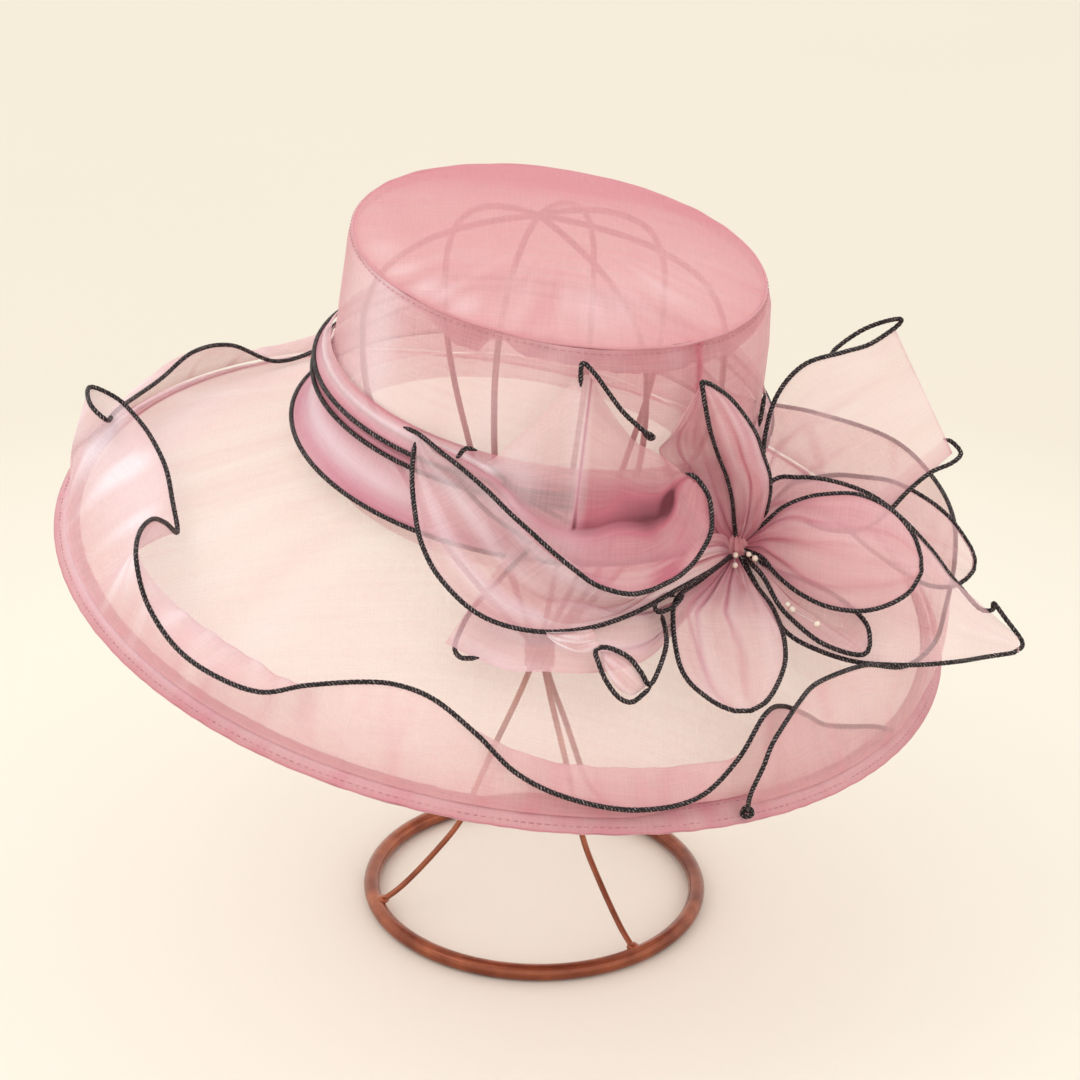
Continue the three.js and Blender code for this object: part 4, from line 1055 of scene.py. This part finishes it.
def pleat(name, u, v):
    """The fine pleats at the end that the knot holds."""
    away = abs(u - PETAL_LOOKS[name][0])
    return noise.noise(Vector((v * 9, away * 1.2, len(name)))) * math.exp(-away / 0.28)


def petal_surface(name, rows, seed):
    """The surface of a leaf or loop through its rows, with soft folds, creases and pleats along it."""
    kept = {}

    def section(u):
        if u not in kept:
            row = between(rows, u)
            one, other = Vector(row[:3]), Vector(row[3:6])
            ahead = between(rows, min(u + 0.02, 1))
            behind = between(rows, max(u - 0.02, 0))
            normal = (other - one).cross(Vector(ahead[:3]) - Vector(behind[:3]))
            normal = normal.normalized() if normal.length > 1e-9 else Vector((0, 0, 1))
            kept[u] = (one, other, normal, row[6], min((other - one).length / 20, 1))
        return kept[u]

    def surface(u, v):
        one, other, normal, belly, wide = section(u)
        rise = belly * 4 * v * (1 - v)
        inside = edges_out(v, 0.12) * wide
        rise += 1.1 * noise.noise(Vector((v * 4.2, u * 2.2, seed))) * inside
        rise += (1.1 * crease(name, u, v) + 2.0 * pleat(name, u, v)) * inside
        return one.lerp(other, v) + normal * rise

    return surface


def petal_paint(name):
    """Where a leaf looks denser, at its knot, creases and rolled edges, with painted shade past 1, and where
    it has a painted highlight.
    """
    end, density_and_shade, at_knot, painted_sheen, _ = PETAL_LOOKS[name]

    def paint(u, v):
        away = abs(u - end)
        root = math.exp(-away / 0.22)
        edge = math.exp(-v / 0.03) + math.exp(-(1 - v) / 0.03)
        drawn = 0.6 * crease(name, u, v) + 0.9 * max(pleat(name, u, v), 0)
        band = 0
        # petal 4 has a hem of double cloth along its back edge and its free end
        if name == "petal_4":
            band = 0.35 * clamp((v - 0.86) / 0.03) + 0.6 * math.exp(-(1 - u) / 0.015)
        soft = noise.noise(Vector((v * 5, u * 2.5, len(name) + 5)))
        return density_and_shade + at_knot * root + 0.25 * edge + drawn + band, painted_sheen * (0.5 + 1.6 * soft) * (1 - root)

    return paint


def folded_surface(u, v):
    """Petal 2: its near part is a trough that comes forward, and behind the valley its leaf stands up."""
    row = between(PETAL_2, u)
    lip, valley, upper = Vector(row[:3]), Vector(row[3:6]), Vector(row[6:9])
    a = 2 * v - 1
    s0, s1, s2 = a * (a - 1) / 2, 1 - a * a, a * (a + 1) / 2
    soft = lip * s0 + valley * s1 + upper * s2
    hard = lip.lerp(valley, 2 * v) if v < 0.5 else valley.lerp(upper, 2 * v - 1)
    point = hard.lerp(soft, 0.35)
    if v < 0.5:
        point += Vector((0, -1.5, -3.5)) * math.sin(2 * math.pi * v) * math.sin(math.pi * u)
        point.z += 1.2 * noise.noise(Vector((u * 5, v * 9, 2))) * math.sin(2 * math.pi * v)
    else:
        rise = min((v - 0.5) / 0.1, 1)
        point.y -= 0.35 * near(u, 0.447, 0.03) * rise
        point.y += 1.6 * noise.noise(Vector((u * 7, v * 3, 2))) * math.sin(2 * math.pi * (v - 0.5))
    return point


def folded_paint(u, v):
    back = v > 0.5
    right = clamp((u - 0.43) / 0.05)
    folds = noise.noise(Vector((u * 9, v * 3, 6)))
    valley = 0.55 * near(v, 0.5, 0.05)
    # painted shade: the deep pocket under the standing leaf is painted dark, past 1 into the shade colour
    hollow_shade = 1.9 * near(u, 0.82, 0.06) * near(v, 0.57, 0.09) + 0.8 * near(u, 0.7, 0.16) * near(v, 0.59, 0.13)
    low = 0.5 * max(1 - (v - 0.5) / 0.2, 0)
    if back:
        density_and_shade = 0.05 + (0.3 + low) * right + 1.1 * near(u, 0.447, 0.006) + 0.35 * max(folds, 0)
        # painted highlight on the left part of the standing leaf
        painted_sheen = 0.5 * (1 - right) * near(v, 0.78, 0.25)
    else:
        density_and_shade = 0.35 + 0.2 * right + 0.5 * max(folds, 0)
        painted_sheen = 0.25 * near(u, 0.3, 0.2)
    return density_and_shade + valley + hollow_shade, painted_sheen * (1 + folds)


petal_cloth = organza("petal_organza", "#E9BBBC", "#BC6B7A", 0.4, 0.96, sheen=0.4, rough=0.55, slubs=0.16)
made = []
for i, (name, rows) in enumerate(PETALS.items()):
    size = PETAL_CUTS[name][0]
    surface = petal_surface(name, rows, i)
    piece = cloth(f"{name}_leaf", surface, 110, 60, (size[1], size[0]), petal_cloth, petal_paint(name))
    if name == "petal_10_fold":
        fit(piece, "organza")
    else:
        fit(piece, "organza", name)
    made.append((name, piece))
piece = cloth("petal_2_leaf", folded_surface, 200, 70, (0.2, 0.085), petal_cloth, folded_paint)
fit(piece, "organza", "petal_2")
made.append(("petal_2", piece))


def edge_of(rows, first, start=0, end=1, count=120):
    """The line along one edge of a petal's rows."""
    steps = [start + (end - start) * k / count for k in range(count + 1)]
    return [Vector(between(rows, t)[first : first + 3]) for t in steps]


def round_edge(rows):
    """Out along one edge of a petal and back along the other."""
    return edge_of(rows, 0) + edge_of(rows, 3)[::-1]


EDGE_CORDS = {
    "cord_1": edge_of(PETALS["petal_1"], 0),
    "cord_2": smooth_line(CORD_2),
    "cord_2_tip": smooth_line([
        [12, -109, 90.5], [11, -108, 101], [17, -108, 97], [24, -107, 89], [31, -106, 81], [38, -104, 74.5],
        [43.5, -102, 70], [46.5, -100, 68], [47.5, -99.5, 66.5], [45.6, -99, 66], [42, -99, 69.2],
    ]),
    "cord_3": edge_of(PETALS["petal_3"], 0)[::-1] + edge_of(PETALS["petal_3"], 3, 0.02, 0.8),
    "cord_4": edge_of(PETALS["petal_4"], 0, 0.22)
    + smooth_line([
        [160, 11, 87], [159.5, 10, 89.5], [154, 15, 85], [146, 17, 79], [138.5, 15, 73], [131, 9, 67.5],
    ]),
    "cord_4_side": smooth_line([
        [187.5, -13, 43.5], [191.5, -15, 43.5], [196, -18, 40], [192, -23, 37], [182.5, -28, 33],
        [173.5, -34, 25.5], [165.5, -41, 17], [157, -46, 10], [148, -49, 8], [137, -50, 8], [127, -49, 10],
    ]),
    "cord_5": round_edge(PETALS["petal_5"]),
    "cord_6": edge_of(PETALS["petal_6"], 0, 0, 0.76)
    + smooth_line([
        [202.3, -58, -7.2], [212.1, -63.5, -13.6], [217.8, -65.5, -12.4], [217.4, -66, -8.5],
        [224.3, -68, -14.7], [233, -71, -22.7], [233.5, -73, -25.5],
    ])
    + edge_of(PETALS["petal_6"], 3, 0, 0.97)[::-1],
    "cord_7": round_edge(PETALS["petal_7"]),
    "cord_8": round_edge(PETALS["petal_8"]),
    "cord_9": round_edge(PETALS["petal_9"]),
    "cord_10": smooth_line([
        [2, -122, 17], [-2.5, -126, 12], [-11, -134, 3], [-19.5, -142, -7], [-24, -153, -14.5],
        [-24.5, -160, -16.5], [-22.5, -166, -16], [-20, -170, -14], [-14.5, -173, -11],
    ]),
    "cord_10_curl": smooth_line([
        [63, -129, -3], [65, -148, -4], [63, -162, -8], [59, -173, -12], [54, -172, -7], [48, -170, -2],
        [39, -168, 0], [34, -168, -2], [36, -172, -6], [40, -177, -11], [46, -182, -15], [52, -181, -17],
        [57, -177, -14], [59.5, -174, -12.5],
    ]),
}
for name, points in EDGE_CORDS.items():
    cord(f"petal_{name}", points, name)

# Cords that show only through the cloth in front of them, and the small loop of cord beside the knot
HIDDEN_CORDS = {
    "petal_cord_8_loop": [
        [68, -120, 2], [63, -125, 5], [59, -131, 3], [61, -132, 0], [67, -128, 1], [72, -118, 2],
    ],
    "petal_cord_2_back": [
        [-20.4, -109, 46.4], [-6.8, -111, 37.4], [5.6, -112, 31], [17.2, -113, 27], [27, -114, 25],
    ],
    "petal_cord_10_back": [
        [-26.6, -102, 49.3], [-31.4, -102, 49.5], [-33.9, -102, 45.6], [-35, -103, 40.2], [-31.4, -105, 35],
        [-23.8, -109, 28.6], [-15.6, -113, 24.4], [-7, -117, 21.5], [2, -121, 17.5],
    ],
    "petal_cord_4_back": [[100, -31, 62], [100, -33, 55], [100, -35, 47]],
}
for name, places in HIDDEN_CORDS.items():
    cord(name, smooth_line(places, 60))

# Knot: the gathered ends of the loops, bound round at the middle of the flower
KNOT_PLACE = (96.5, -67.6, 2)
KNOT_SIZE = (6.5, 6.5, 7.5)
shape = bmesh.new()
bmesh.ops.create_icosphere(shape, subdivisions=5, radius=1)
for vert in shape.verts:
    turn = math.atan2(vert.co.y, vert.co.x)
    folds = 0.10 * math.sin(11 * turn + 4 * vert.co.z) + 0.08 * noise.noise(vert.co * 3)
    reach = Vector([c * size for c, size in zip(vert.co, KNOT_SIZE)]) * (0.92 + folds)
    vert.co = HAT @ (Vector(KNOT_PLACE) + reach)
smooth(shape)
knot_cloth = organza("knot_organza", "#D9959B", "#B5626E", 0.9, 1.0)
knot = add_object("flower_knot_cloth", shape, knot_cloth)
fit(knot, "rose_cloth", "flower_knot")
for name, piece in made:
    size, area, rest = PETAL_CUTS[name]

# Pearls: small cream glass beads with a pearly coat, on clear nylon threads that come out of the knot
pearl = tinted(
    "cream_pearl_bead", 350, 2, "#F3DCC2", "#FFF6EC",
    {"Roughness": 0.18, "Coat Weight": 0.6, "Coat Roughness": 0.05})
nylon = tinted("clear_nylon_thread", 200, 1, "#EFE4DF", "#FFFFFF", {"Alpha": 0.5, "Roughness": 0.1})

# columns: radius of the bead, its place x y z
PEARLS = [
    [1.3, 101.8, -77, 4.2], [1.5, 104.7, -79, 3.7], [1.6, 112.5, -86, -3.2], [1.4, 120.9, -96, -7.6],
    [1.6, 123.1, -98, -8.7], [1.6, 123.4, -98, -11.4], [1.5, 133.9, -107, -9], [1.4, 96.2, -76, 2.3],
    [1.4, 96.4, -80, -0.7], [1.5, 100.9, -84, -8.8], [1.4, 101.9, -86, -9.2], [1.5, 105.2, -82, -6.5],
    [1.4, 108, -92, -15.1], [1.5, 113.1, -88, -12.2], [1.4, 116.9, -98, -22.1], [1.4, 120.2, -100, -24.9],
]
for i, (radius, *at) in enumerate(PEARLS):
    shape = bmesh.new()
    bead_place = Matrix.Translation(HAT @ Vector(at))
    bmesh.ops.create_icosphere(shape, subdivisions=2, radius=radius * MM, matrix=bead_place)
    smooth(shape)
    fit(add_object(f"pearl_{i + 1}", shape, pearl), "organza")
# Each thread starts at the knot and carries a few of the beads
NYLON_RADIUS = 0.14
THREAD_START = (96.5, -69, 3)
THREAD_BEADS = ((0, 1, 2, 3, 4, 6), (7, 8, 9, 10, 12, 14), (1, 11, 13, 5), (11, 15))


def nylon_thread(name, places):
    """A clear thread through points in the hat's millimetres."""
    points = [HAT @ point for point in smooth_line(places, 60)]
    fit(wire(name, points, NYLON_RADIUS * MM, nylon, step=0.001, sides=5), "organza")


for i, row in enumerate(THREAD_BEADS):
    beads = [Vector(PEARLS[k][1:]) for k in row]
    nylon_thread(f"pearl_thread_{i + 1}", [Vector(THREAD_START)] + beads)
# A loose loop of the same nylon comes out of the hem at the right
HEM_LOOP = [
    [188, -66, -71], [192, -61, -69], [194, -60, -72], [197, -60, -71.5], [195, -62, -75.5],
    [191, -66, -73],
]
nylon_thread("hem_nylon_loop", HEM_LOOP)
